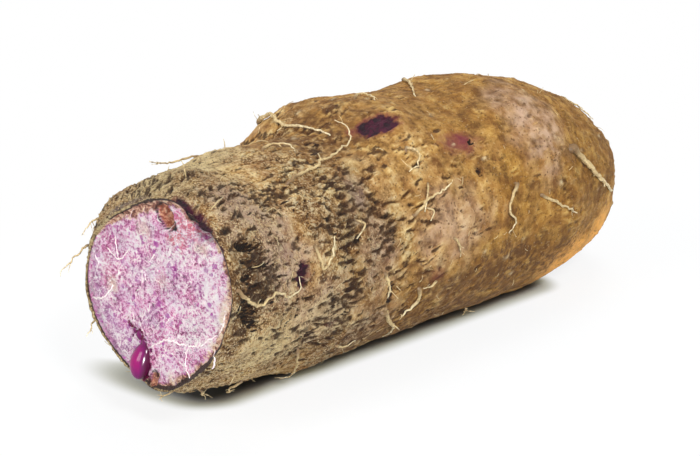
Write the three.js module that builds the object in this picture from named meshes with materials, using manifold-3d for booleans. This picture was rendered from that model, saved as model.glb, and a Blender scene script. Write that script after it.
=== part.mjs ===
// A purple yam lying on its side: one tuber, cut straight through with a knife near its head, with
// the rootlets that its skin still carries and one bead of juice that has run out of the cut.
//
// Millimetres, +Z up. The tuber grows along +X, from the cut to its rounded far end, and lies on the
// plane z = 0. It is drawn from the middle of the cut, and the group then moves so that the origin
// is the middle of its footprint. A place on the skin is a distance x along the tuber and a turn
// around it in degrees: 0 is the top, 90 the side towards -Y, 180 the underside, -90 the side
// towards +Y.

import * as THREE from "three";
import { ParametricGeometry } from "three/addons/geometries/ParametricGeometry.js";
import { mergeVertices } from "three/addons/utils/BufferGeometryUtils.js";
import Module from "manifold-3d";

const wasm = await Module();
wasm.setup();

// The tuber's growth: [along, half width, height of the middle, sideways drift of the middle].
const GROWTH = [
  [0, 26, 36, -7],
  [14, 30.5, 34.5, 0],
  [30, 31, 31.5, 3.5],
  [48, 33, 30.5, 4],
  [68, 32.5, 30, 5],
  [90, 35.5, 32.6, 4.5],
  [113, 35, 32.2, 2.5],
  [139, 35.5, 32.6, 0.5],
  [163, 33.5, 30.8, 0.5],
  [185, 33.5, 28, 1.5],
  [198, 33.5, 25.5, 2],
  [210, 33.5, 21, 2.5],
];
const FAR_END = 210; // where the rounded end closes
const FAR_SHOULDER = 150; // where it starts to close
const FAR_ROUNDNESS = 2.2; // exponent of the closing curve, 2 being an ellipse
const HEIGHT_RATIO = 0.94; // a section's height over its width
const SQUARENESS = 2.1; // exponent of a section's outline, 2 being round
const LOBE_REACH = 45; // how far the cut end's uneven outline carries along the tuber

// The cut end's outline isn't round: each lobe is [waves around, cosine share, sine share].
const CUT_LOBES = [
  [2, 0.08, -0.06],
  [3, 0.025, 0.025],
  [4, 0.03, -0.01],
];

// Swellings and hollows of the skin: at, turn, reach along, reach around in degrees, height.
const SWELLINGS = [
  { at: 20, turn: 128, along: 15, around: 28, height: 1.6 }, // belly near the cut
  { at: 6, turn: 94, along: 6, around: 8, height: -2.4 }, // black fold beside the cut
  { at: 12, turn: 62, along: 10, around: 16, height: -0.8 },
  { at: 82, turn: 27, along: 9, around: 7, height: -1.2 }, // dark scar on the shoulder
  { at: 110, turn: 47, along: 5, around: 6, height: -1.2 }, // second scar, with a hole
  { at: 28, turn: 78, along: 4, around: 5, height: -0.8 }, // small purple wound
  { at: 106, turn: 64, along: 4, around: 5, height: -0.9 },
  { at: 86, turn: -32, along: 13, around: 28, height: 2.8 }, // shoulder behind the step
  { at: 140, turn: 8, along: 16, around: 30, height: 1.2 }, // hump of the far half
  { at: 96, turn: 96, along: 15, around: 20, height: 1.1 },
  { at: 126, turn: 104, along: 9, around: 22, height: -1.3 },
  { at: 146, turn: 46, along: 9, around: 20, height: 1.2 },
  { at: 158, turn: 62, along: 8, around: 16, height: -1.3 },
  { at: 176, turn: 70, along: 10, around: 24, height: 1.0 },
  { at: 60, turn: -100, along: 16, around: 30, height: 1.4 },
  { at: 118, turn: -80, along: 14, around: 30, height: -1.5 },
  { at: 34, turn: -75, along: 10, around: 20, height: -1.0 },
  { at: 168, turn: -110, along: 12, around: 30, height: 1.3 },
];

// Furrows around the tuber, where one season's growth meets the next: at, slant in mm per degree,
// the middle turn and the reach around it, reach along and depth.
const FURROWS = [
  { at: 48, slant: -0.06, turn: 72, around: 50, along: 4.5, depth: 1.4 },
  { at: 70, slant: 0.02, turn: -30, around: 40, along: 6, depth: 2.2 },
  { at: 38, slant: 0.05, turn: 122, around: 22, along: 4, depth: 1.5 },
  { at: 104, slant: 0.04, turn: 60, around: 55, along: 6, depth: 0.9 },
  { at: 134, slant: -0.05, turn: 90, around: 45, along: 5, depth: 1.1 },
  { at: 78, slant: 0.05, turn: -120, around: 50, along: 6, depth: 1.4 },
  { at: 148, slant: 0.04, turn: -70, around: 45, along: 5, depth: 1.2 },
];
const RIPPLE = 0.35; // half height of the skin's slow waves

// The knife's plane crosses the tuber's line at KNIFE_HEIGHT, and sections near it are parallel to it.
const KNIFE_HEIGHT = 30;
const KNIFE_TURN = 12; // degrees about Z, away from -Y
const KNIFE_LEAN = 5; // degrees that the top of the cut leans back
const KNIFE_REACH = 40; // how far along the tuber its sections still lean with the cut
const BLOCK = 300; // a block larger than the tuber, for flat cuts

// Wounds in the rim and face of the cut, each an ellipsoid: its middle's distance across, height
// and depth behind the cut, its half sizes and its tilt about X.
const WOUNDS = [
  { across: -22, height: 56, behind: 1.2, half: [3.4, 7.5, 2.6], tilt: 40 }, // torn rim
  { across: -9.4, height: 54.4, behind: 0.3, half: [1.8, 1.5, 3.7], tilt: -25 }, // pit in the flesh
  { across: -18.2, height: 48.6, behind: 0.2, half: [1.2, 1.2, 1.7], tilt: 0 }, // smaller pit
];

// The bead of juice that hangs on the lower part of the cut: middle on the cut, half sizes.
const BEAD = { across: -0.4, height: 16.8, half: [2.6, 2.4, 4.6] };

const CLEARANCE = 0.35; // between two pieces that touch

// Rootlets: name, radius at the root, and the route over the skin as [x, turn, height above it].
const ROOTLETS = [
  ["shoulder_curl", 0.7, [[39, 37, 0], [48, 34, 0.8], [58, 30, 1.2], [67, 28, 2], [74, 24, 2.5],
    [77, 17, 2.5], [78, 10, 1.5]]],
  ["shoulder_thick", 1.1, [[84, -43, 0], [80, -29, 0.6], [75, -17, 0.2], [74, -6, 0.6],
    [74, 4, 0.3], [73, 14, 0]]],
  ["crown_near", 0.7, [[50, 5, 0], [54, 4, 0.8], [58, 8, 0.8], [56, 16, 0]]],
  ["crown_middle", 0.7, [[93, 1, 0], [98, -3, 0.8], [98, 3, 0.6], [95, 9, 0]]],
  ["crown_far", 0.8, [[129, -18, 0], [121, -4, 1], [112, 10, 0]]],
  ["scar_hook", 0.7, [[85, 43, 0], [87, 48, 0.8], [85, 53, 1], [81, 54, 0.5]]],
  ["side_long", 0.7, [[77, 74, 0], [81, 71, 0.8], [87, 69, 1], [93, 67, 0.6]]],
  ["side_short", 0.6, [[90, 94, 0], [92, 99, 0.8], [93, 104, 0.5]]],
  ["side_wave", 0.8, [[121, 73, 0], [116, 83, 0.6], [119, 90, 0.8], [116, 95, 0.3]]],
  ["far_thick", 1.1, [[153, 68, 0], [158, 76, 0.6], [166, 86, 0.6], [180, 98, 0]]],
  ["far_side", 0.8, [[132, 82, 0], [140, 89, 0.6], [149, 96, 0.3]]],
  ["low_drop", 0.7, [[63, 98, 0], [65, 104, 0.8], [66, 111, 1]]],
  ["low_curl", 0.8, [[79, 114, 0], [81, 121, 1.2], [77, 128, 2]]],
  ["low_reach", 0.8, [[66, 118, 0], [72, 127, 1], [79, 138, 1.5], [81, 148, 1]]],
  ["low_stub", 0.6, [[85, 107, 0], [83, 108, 0.8], [80, 108, 1.2]]],
  ["under_far", 0.7, [[118, 147, 0], [120, 151, 1.5], [123, 154, 2.5]]],
  ["vee", 0.6, [[34, 68, 0], [35, 75, 0.5], [36, 79, 0.8], [39, 73, 1], [41, 67, 1.2]]],
  ["wavy", 0.7, [[1, 78, 0], [4, 84, 1], [8, 88, 1.2], [11, 89, 1], [16, 86, 0.6], [22, 89, 0.8],
    [26, 87, 0.6], [27, 82, 0.4]]],
  ["floor_long", 0.6, [[36, 126, 0], [40, 138, 1.5], [43, 149, 3], [43, 160, 4]]],
  ["front_curl", 0.6, [[22, 145, 0], [21, 152, 1.5], [24, 158, 3], [28, 160, 3]]],
  ["front_low", 0.6, [[13, 158, 0], [16, 163, 2], [21, 166, 3]]],
  ["low_lying", 0.6, [[50, 127, 0], [55, 129, 0.8], [59, 128, 0.4]]],
  ["low_bristle", 0.6, [[74, 152, 0], [71, 156, 0.8], [67, 158, 1.2]]],
  ["cut_hair_top", 0.5, [[8, -68, 0], [9, -73, 2], [8, -79, 4.5]]],
  ["cut_hair_long", 0.5, [[7, -84, 0], [6, -88, 5], [4, -92, 9], [2, -96, 13]]],
  ["cut_hair_low", 0.5, [[3, -118, 0], [2, -121, 4], [2, -124, 8]]],
  ["cut_hair_under", 0.5, [[3, 168, 0], [2, 173, 2], [0, 177, 4]]],
  ["crown_hair_long", 0.5, [[46, -30, 0], [40, -34, 3], [30, -32, 6], [20, -25, 7]]],
  ["crown_hair_short", 0.5, [[88, -45, 0], [87, -45, 2.5], [86, -43, 5]]],
  ["back_near", 0.7, [[20, -55, 0], [27, -58, 1], [33, -53, 1.5], [38, -57, 0.5]]],
  ["back_curl", 0.8, [[52, -84, 0], [56, -92, 1.5], [53, -100, 2]]],
  ["back_thick", 1.0, [[70, -62, 0], [74, -75, 0.6], [72, -89, 0.6], [76, -103, 0.2]]],
  ["back_wave", 0.7, [[96, -66, 0], [102, -69, 1], [108, -65, 1.4], [113, -70, 0.6]]],
  ["back_hook", 0.8, [[98, -105, 0], [102, -113, 1.6], [98, -121, 2]]],
  ["back_short", 0.7, [[124, -75, 0], [129, -82, 1], [127, -90, 1.2]]],
  ["back_low", 0.7, [[38, -118, 0], [43, -127, 1.5], [40, -136, 3]]],
  ["back_far", 0.8, [[140, -100, 0], [147, -106, 1], [156, -104, 0.5]]],
  ["far_crown", 0.8, [[164, -46, 0], [170, -54, 1], [177, -60, 0.6]]],
  ["far_tip", 0.7, [[186, 18, 0], [190, 28, 1], [191, 40, 1.2]]],
  ["far_under", 0.7, [[184, -130, 0], [188, -140, 1.6], [186, -150, 3]]],
  ["under_back", 0.7, [[60, -136, 0], [66, -143, 1.5], [70, -149, 2]]],
  ["under_middle", 0.7, [[115, -133, 0], [121, -140, 2], [118, -147, 2.5]]],
];
const TIP_SHARE = 0.45; // a rootlet's radius at its tip over its radius at the root

// How finely the solids are drawn.
const TUBER_SIDES = 64;
const BODY_RINGS = 44;
const END_RINGS = 12;
const ROOTLET_SIDES = 6;
const ROOTLET_STEP = 1.8; // mm between a rootlet's rings

const radians = THREE.MathUtils.degToRad;
const growth = new THREE.CubicInterpolant(
  GROWTH.map(([along]) => along),
  GROWTH.flatMap(([, ...section]) => section),
  3,
);

const skin = new THREE.MeshStandardMaterial({ color: "#a3835a", roughness: 0.85 });
const rootlet = new THREE.MeshStandardMaterial({ color: "#cfb98f", roughness: 0.8 });
const juice = new THREE.MeshStandardMaterial({ color: "#9a2a6c", roughness: 0.12 });

/** The size and place of the tuber's section at a distance along it. */
function sectionAt(along) {
  const [halfWidth, middle, drift] = growth.evaluate(along);
  const closing = Math.max(0, (along - FAR_SHOULDER) / (FAR_END - FAR_SHOULDER));
  const share = Math.max(0, 1 - closing ** FAR_ROUNDNESS) ** (1 / FAR_ROUNDNESS);
  return { halfWidth: halfWidth * share, middle, drift };
}

/** The turn from one place to another, in degrees from -180 to 180. */
function turnBetween(from, to) {
  return THREE.MathUtils.euclideanModulo(to - from + 180, 360) - 180;
}

/** A smooth bump that is 1 in the middle and dies away a little over one reach from it. */
function bump(distance, reach) {
  return Math.exp(-((distance / reach) ** 2));
}

/** How far the skin stands out of the plain section at a place, in mm. */
function relief(along, turn) {
  let height = RIPPLE * Math.sin(along / 7 + radians(3 * turn)) * Math.cos(along / 16 - radians(2 * turn));
  for (const s of SWELLINGS) {
    height += s.height * bump(along - s.at, s.along) * bump(turnBetween(s.turn, turn), s.around);
  }
  for (const f of FURROWS) {
    const around = turnBetween(f.turn, turn);
    height -= f.depth * bump(along - f.at - f.slant * around, f.along) * bump(around, f.around);
  }
  return height;
}

/** How much wider than round the cut end's outline is on one turn. */
function cutOutline(along, turn) {
  const angle = radians(turn + 90);
  const lobes = CUT_LOBES.reduce(
    (sum, [waves, cosine, sine]) =>
      sum + cosine * Math.cos(waves * angle) + sine * Math.sin(waves * angle),
    0,
  );
  return 1 + lobes * bump(along, LOBE_REACH);
}

/** How far the knife's plane lies along the tuber at a distance across and a height. */
function cutDepth(across, height) {
  const lean = Math.tan(radians(KNIFE_LEAN)) * (height - KNIFE_HEIGHT);
  return Math.tan(radians(KNIFE_TURN)) * across + lean;
}

/** A point of a section, which leans with the cut where it is near it. */
function leant(along, across, height) {
  const share = Math.max(0, 1 - along / KNIFE_REACH);
  return new THREE.Vector3(along + share * cutDepth(across, height), across, height);
}

/** A point of the skin. */
function skinPoint(along, turn) {
  const { halfWidth, middle, drift } = sectionAt(along);
  const side = Math.sin(radians(turn));
  const rise = Math.cos(radians(turn));
  const square = (Math.abs(side) ** SQUARENESS + Math.abs(rise) ** SQUARENESS) ** (-1 / SQUARENESS);
  const closing = Math.min(1, halfWidth / GROWTH[1][1]);
  const radius = halfWidth * square * cutOutline(along, turn) + relief(along, turn) * closing;
  return leant(along, drift - radius * side, middle + HEIGHT_RATIO * radius * rise);
}

/** The direction straight out of the skin at a place. */
function skinNormal(along, turn) {
  const step = 0.5;
  const ahead = skinPoint(along + step, turn).sub(skinPoint(along - step, turn));
  const around = skinPoint(along, turn + step).sub(skinPoint(along, turn - step));
  return ahead.cross(around).normalize().negate();
}

/** A closed geometry as a manifold-3d solid. */
function solidOf(geometry) {
  const bare = new THREE.BufferGeometry();
  bare.setAttribute("position", geometry.getAttribute("position"));
  bare.setIndex(geometry.getIndex());
  const merged = mergeVertices(bare, 1e-4);
  const corners = [...merged.getIndex().array];
  const triangles = [];
  for (let i = 0; i < corners.length; i += 3) {
    const [a, b, c] = corners.slice(i, i + 3);
    if (a !== b && b !== c && c !== a) triangles.push(a, b, c);
  }
  return new wasm.Manifold(
    new wasm.Mesh({
      numProp: 3,
      vertProperties: merged.getAttribute("position").array,
      triVerts: new Uint32Array(triangles),
    }),
  );
}

/** A named mesh made from a manifold-3d solid. */
function meshOf(name, solid, material) {
  const made = solid.getMesh();
  const geometry = new THREE.BufferGeometry();
  geometry.setAttribute("position", new THREE.BufferAttribute(made.vertProperties, 3));
  geometry.setIndex(new THREE.BufferAttribute(made.triVerts, 1));
  const flat = geometry.toNonIndexed();
  flat.computeVertexNormals();
  const mesh = new THREE.Mesh(flat, material);
  mesh.name = name;
  return mesh;
}

/** The tuber from the cut, which is a flat face, to the end where it closes. */
function grownTuber() {
  const rings = BODY_RINGS + END_RINGS + 1;
  const surface = (u, v, target) => {
    const ring = Math.round(v * rings) - 1;
    const body = (FAR_SHOULDER * ring) / BODY_RINGS;
    const quarter = ((ring - BODY_RINGS) / END_RINGS) * (Math.PI / 2);
    const end = FAR_SHOULDER + (FAR_END - FAR_SHOULDER) * Math.sin(quarter);
    const along = ring < BODY_RINGS ? body : end;
    if (ring < 0) {
      const { middle, drift } = sectionAt(0);
      target.copy(leant(0, drift, middle));
    } else {
      target.copy(skinPoint(along, 360 * (u % 1)));
    }
  };
  return solidOf(new ParametricGeometry(surface, TUBER_SIDES, rings));
}

/** The block of space in front of the knife's plane, moved back from the plane by gap. */
function knifeBlock(gap) {
  const block = new THREE.BoxGeometry(BLOCK, BLOCK, BLOCK).translate(-BLOCK / 2 - gap, 0, 0);
  const plane = new THREE.Euler(0, radians(KNIFE_LEAN), -radians(KNIFE_TURN));
  block.applyMatrix4(new THREE.Matrix4().makeRotationFromEuler(plane));
  return solidOf(block.translate(0, 0, KNIFE_HEIGHT));
}

/** The block of space under the surface that the tuber lies on. */
function floorBlock() {
  return solidOf(new THREE.BoxGeometry(2 * BLOCK, BLOCK, BLOCK).translate(0, 0, -BLOCK / 2));
}

/** A wound's ellipsoid: a ball stretched to three half sizes, tilted and moved behind the cut. */
function woundShape({ across, height, behind, half, tilt }) {
  const ball = new THREE.SphereGeometry(1, 16, 12).scale(...half).rotateX(radians(tilt));
  return solidOf(ball.translate(behind, 0, 0).translate(cutDepth(across, height), across, height));
}

/** The tuber: grown, cut through, worn flat where it lies, and wounded at the cut. */
function tuber() {
  const trimmed = grownTuber().subtract(floorBlock());
  const wounded = WOUNDS.reduce((solid, wound) => solid.subtract(woundShape(wound)), trimmed);
  return meshOf("tuber", wounded, skin);
}

/** The bead of juice: a drop that swells downwards, flat against the cut. */
function juiceBead() {
  const [depth, width, height] = BEAD.half;
  const outline = new THREE.SplineCurve([
    new THREE.Vector2(0, -1),
    new THREE.Vector2(0.72, -0.72),
    new THREE.Vector2(1, -0.2),
    new THREE.Vector2(0.8, 0.4),
    new THREE.Vector2(0.42, 0.8),
    new THREE.Vector2(0, 1),
  ]);
  const profile = outline.getPoints(14).map(({ x, y }) => new THREE.Vector2(Math.max(0, x), y));
  const drop = new THREE.LatheGeometry(profile, 20).rotateX(Math.PI / 2);
  drop.scale(depth, width, height).translate(cutDepth(BEAD.across, BEAD.height), BEAD.across, BEAD.height);
  return meshOf("juice_bead", solidOf(drop).intersect(knifeBlock(CLEARANCE)), juice);
}

/** One rootlet: a tapering tube that follows its route over the skin and clears the floor. */
function rootletMesh([name, radius, route]) {
  const plan = new THREE.CatmullRomCurve3(route.map((place) => new THREE.Vector3(...place)));
  const points = plan.getPoints(4 * route.length).map(({ x, y, z }) => {
    const stand = radius + CLEARANCE + Math.max(0, z);
    const point = skinPoint(x, y).addScaledVector(skinNormal(x, y), stand);
    point.z = Math.max(point.z, radius + CLEARANCE);
    return point;
  });
  const path = new THREE.CatmullRomCurve3(points);
  const rings = Math.max(6, Math.ceil(path.getLength() / ROOTLET_STEP));
  const frames = path.computeFrenetFrames(rings);
  const surface = (u, v, target) => {
    const ring = Math.round(v * rings);
    const closed = ring === 0 || ring === rings;
    const thickness = closed ? 0 : radius * THREE.MathUtils.lerp(1, TIP_SHARE, ring / rings);
    const angle = 2 * Math.PI * (u % 1);
    target.copy(path.getPointAt(ring / rings));
    target.addScaledVector(frames.normals[ring], thickness * Math.cos(angle));
    target.addScaledVector(frames.binormals[ring], thickness * Math.sin(angle));
  };
  const solid = solidOf(new ParametricGeometry(surface, ROOTLET_SIDES, rings));
  return meshOf("rootlet_" + name, solid, rootlet);
}

const yam = new THREE.Group();
yam.add(tuber(), juiceBead(), ...ROOTLETS.map(rootletMesh));

// The origin is the middle of the footprint, on the surface that the tuber lies on.
const bounds = new THREE.Box3().setFromObject(yam);
const centre = bounds.getCenter(new THREE.Vector3());
yam.position.set(-centre.x, -centre.y, -bounds.min.z);

const group = new THREE.Group();
group.add(yam);

export default group;
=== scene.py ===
"""A purple yam, cut through near its head and lying on a pale floor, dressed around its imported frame.

The classes' fields are in millimetres and degrees, and Blender's objects in metres. A place on the skin is
a distance along the tuber from the cut and a turn around it: 0 is the top, 90 the side towards -Y, 180 the
underside and -90 the side towards +Y. A place on the cut is a distance across it, along Y, and a height.
"""

import logging
import math
from collections.abc import Callable, Iterator
from contextlib import contextmanager
from dataclasses import dataclass, field
from enum import Enum
from functools import cached_property, partial, reduce

import bmesh
import bpy
import numpy as np
from bpy.types import Material, Node, NodeTree, Object
from bpy.types import NodeSocket as Socket
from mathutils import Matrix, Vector
from mathutils.bvhtree import BVHTree


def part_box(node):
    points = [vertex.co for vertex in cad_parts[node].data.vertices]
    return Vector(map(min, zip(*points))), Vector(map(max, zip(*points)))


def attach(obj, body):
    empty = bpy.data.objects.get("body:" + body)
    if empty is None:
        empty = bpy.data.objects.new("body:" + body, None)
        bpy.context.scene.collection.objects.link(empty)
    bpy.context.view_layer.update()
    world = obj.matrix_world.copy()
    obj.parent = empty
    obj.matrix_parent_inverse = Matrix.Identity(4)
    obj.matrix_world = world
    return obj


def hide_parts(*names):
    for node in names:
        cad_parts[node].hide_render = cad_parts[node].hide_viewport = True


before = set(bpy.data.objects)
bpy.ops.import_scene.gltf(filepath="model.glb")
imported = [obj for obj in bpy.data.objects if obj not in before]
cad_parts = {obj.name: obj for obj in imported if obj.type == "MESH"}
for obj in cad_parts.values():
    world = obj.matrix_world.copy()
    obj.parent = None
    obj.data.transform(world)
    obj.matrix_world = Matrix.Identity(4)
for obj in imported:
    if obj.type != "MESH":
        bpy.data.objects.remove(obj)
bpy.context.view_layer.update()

LOG = logging.getLogger("purple_yam")
MM = 0.001
BODY = "root"
UV_NAME = "OFBake"

Array = np.ndarray
Random = np.random.Generator
Colour = tuple[float, float, float, float]
Point = tuple[float, float, float]
Table = tuple[tuple[float, float], ...]
Stops = tuple[tuple[float, str], ...]


class Slot(Enum):
    """The names of the finishes that the pieces belong to."""

    SKIN = "skin"
    FLESH = "flesh"
    ROOTLET = "rootlet"
    JUICE = "juice"


# --- Small measures ---


def srgb(code: str) -> Colour:
    """The linear colour of a hex code such as '#a3835a'."""
    parts = [int(code[i : i + 2], 16) / 255 for i in (1, 3, 5)]
    return (*(c / 12.92 if c <= 0.04045 else ((c + 0.055) / 1.055) ** 2.4 for c in parts), 1.0)


def step(low: float, high: float, values: Array) -> Array:
    """A smooth step from 0 at low to 1 at high, which may lie either way round."""
    share = np.clip((values - low) / (high - low), 0.0, 1.0)
    return share * share * (3.0 - 2.0 * share)


def bell(distance: Array, reach: float) -> Array:
    """A bump that is 1 in the middle and dies away a little over one reach from it."""
    return np.exp(-((distance / reach) ** 2))


def turn_between(start: float, turns: Array) -> Array:
    """The turn from one place to others, in degrees from -180 to 180."""
    return (turns - start + 180.0) % 360.0 - 180.0


def unit(vectors: Array) -> Array:
    """Vectors of length 1 in the same directions."""
    return vectors / np.maximum(np.linalg.norm(vectors, axis=-1, keepdims=True), 1e-9)


class Noise:
    """Smooth seeded noise in space, about -1 to 1, with no seam around the tuber."""

    def __init__(self, seed: int) -> None:
        """Draws the noise's slopes from a seed.

        Args:
            seed: What the draw starts from.
        """
        random = np.random.default_rng(seed)
        self.order = random.permutation(256)
        self.slopes = unit(random.normal(size=(256, 3)))

    def __call__(self, places: Array, size: Point) -> Array:
        """The noise at places.

        Args:
            places: Points in millimetres, the last axis being X, Y and Z.
            size: How far apart the noise's hills are along X, Y and Z.

        Returns:
            One value for each point.
        """
        scaled = places / np.array(size)
        cell = np.floor(scaled).astype(int)
        inside = scaled - cell
        ease = inside**3 * (inside * (inside * 6 - 15) + 10)
        total = np.zeros(places.shape[:-1])
        for corner in np.ndindex(2, 2, 2):
            at = cell + corner
            pick = self.order[at[..., 0] % 256]
            pick = self.order[(pick + at[..., 1]) % 256]
            pick = self.order[(pick + at[..., 2]) % 256]
            slope = (self.slopes[pick] * (inside - corner)).sum(-1)
            share = np.where(np.array(corner) == 1, ease, 1 - ease).prod(-1)
            total += slope * share
        return total * 1.7


# --- Modelling by hand ---


def clear_selection() -> None:
    """Leaves object mode with nothing selected."""
    if bpy.context.object and bpy.context.object.mode != "OBJECT":
        bpy.ops.object.mode_set(mode="OBJECT")
    bpy.ops.object.select_all(action="DESELECT")


@contextmanager
def edit_mode(piece: Object, kind: str) -> Iterator[None]:
    """Opens one piece for editing with nothing selected, and closes it afterwards.

    Args:
        piece: The piece to edit.
        kind: What is selected in it: VERT, EDGE or FACE.

    Yields:
        Nothing, while the piece is open.
    """
    chosen(piece)
    bpy.ops.object.mode_set(mode="EDIT")
    bpy.ops.mesh.select_mode(type=kind)
    bpy.ops.mesh.select_all(action="DESELECT")
    yield
    bpy.ops.object.mode_set(mode="OBJECT")
    piece.select_set(False)


def select_only(piece: Object, kind: str, wanted: Callable[[object], bool]) -> None:
    """Selects just the wanted faces or edges of an open piece.

    Args:
        piece: The open piece.
        kind: "faces" or "edges".
        wanted: Whether one of them is wanted.
    """
    bpy.ops.mesh.select_all(action="DESELECT")
    for part in getattr(bmesh.from_edit_mesh(piece.data), kind):
        if wanted(part):
            part.select_set(True)
    bmesh.update_edit_mesh(piece.data)


def linked(name: str, data: bpy.types.ID) -> Object:
    """A new object of the scene that shows some data.

    Args:
        name: The object's name.
        data: A mesh, curve, camera or light.

    Returns:
        The object.
    """
    made = bpy.data.objects.new(name, data)
    bpy.context.scene.collection.objects.link(made)
    return made


def chosen(*pieces: Object) -> None:
    """Selects just some pieces, of which the first is active.

    Args:
        pieces: The pieces.
    """
    clear_selection()
    for piece in pieces:
        piece.select_set(True)
    bpy.context.view_layer.objects.active = pieces[0]


def applied(name: str, material: Material | None = None) -> Object:
    """The active object, named, with its turn and scale applied and its material on it.

    Args:
        name: Its new name.
        material: Its material, if it has one.

    Returns:
        The object.
    """
    piece = bpy.context.object
    piece.name = name
    bpy.ops.object.transform_apply(location=True, rotation=True, scale=True)
    if material:
        piece.data.materials.append(material)
    return piece


def each_vertex(piece: Object, name: str) -> Array:
    """A vector that a mesh holds for each vertex.

    Args:
        piece: The mesh's object.
        name: "co" for places, in metres, or "normal".

    Returns:
        One row for each vertex.
    """
    flat = np.zeros(len(piece.data.vertices) * 3)
    piece.data.vertices.foreach_get(name, flat)
    return flat.reshape(-1, 3)


def coordinates(piece: Object) -> Array:
    """A piece's vertices, in millimetres."""
    return each_vertex(piece, "co") / MM


def reshape(piece: Object, places: Array) -> None:
    """Moves a piece's vertices to places in millimetres."""
    piece.data.vertices.foreach_set("co", (places * MM).ravel())


def store(piece: Object, name: str, values: Array) -> None:
    """Keeps one value for each vertex of a piece, for its material to read."""
    attribute = piece.data.attributes.new(name, "FLOAT", "POINT")
    attribute.data.foreach_set("value", values.astype(np.float32))


def settle(piece: Object, slot: Slot, replaced: tuple[str, ...] = ()) -> Object:
    """Hands a finished piece to the frame.

    Args:
        piece: The piece, in place.
        slot: The finish that it belongs to; not used.
        replaced: The frame's nodes that it stands for.

    Returns:
        The piece.
    """
    piece.data.polygons.foreach_set("use_smooth", [True] * len(piece.data.polygons))
    piece.data.update()
    if replaced:
        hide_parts(*replaced)
    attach(piece, BODY)
    faces = sum(len(polygon.vertices) - 2 for polygon in piece.data.polygons)
    LOG.info("%s: %d triangles", piece.name, faces)
    return piece


# --- Shader nodes ---


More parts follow.
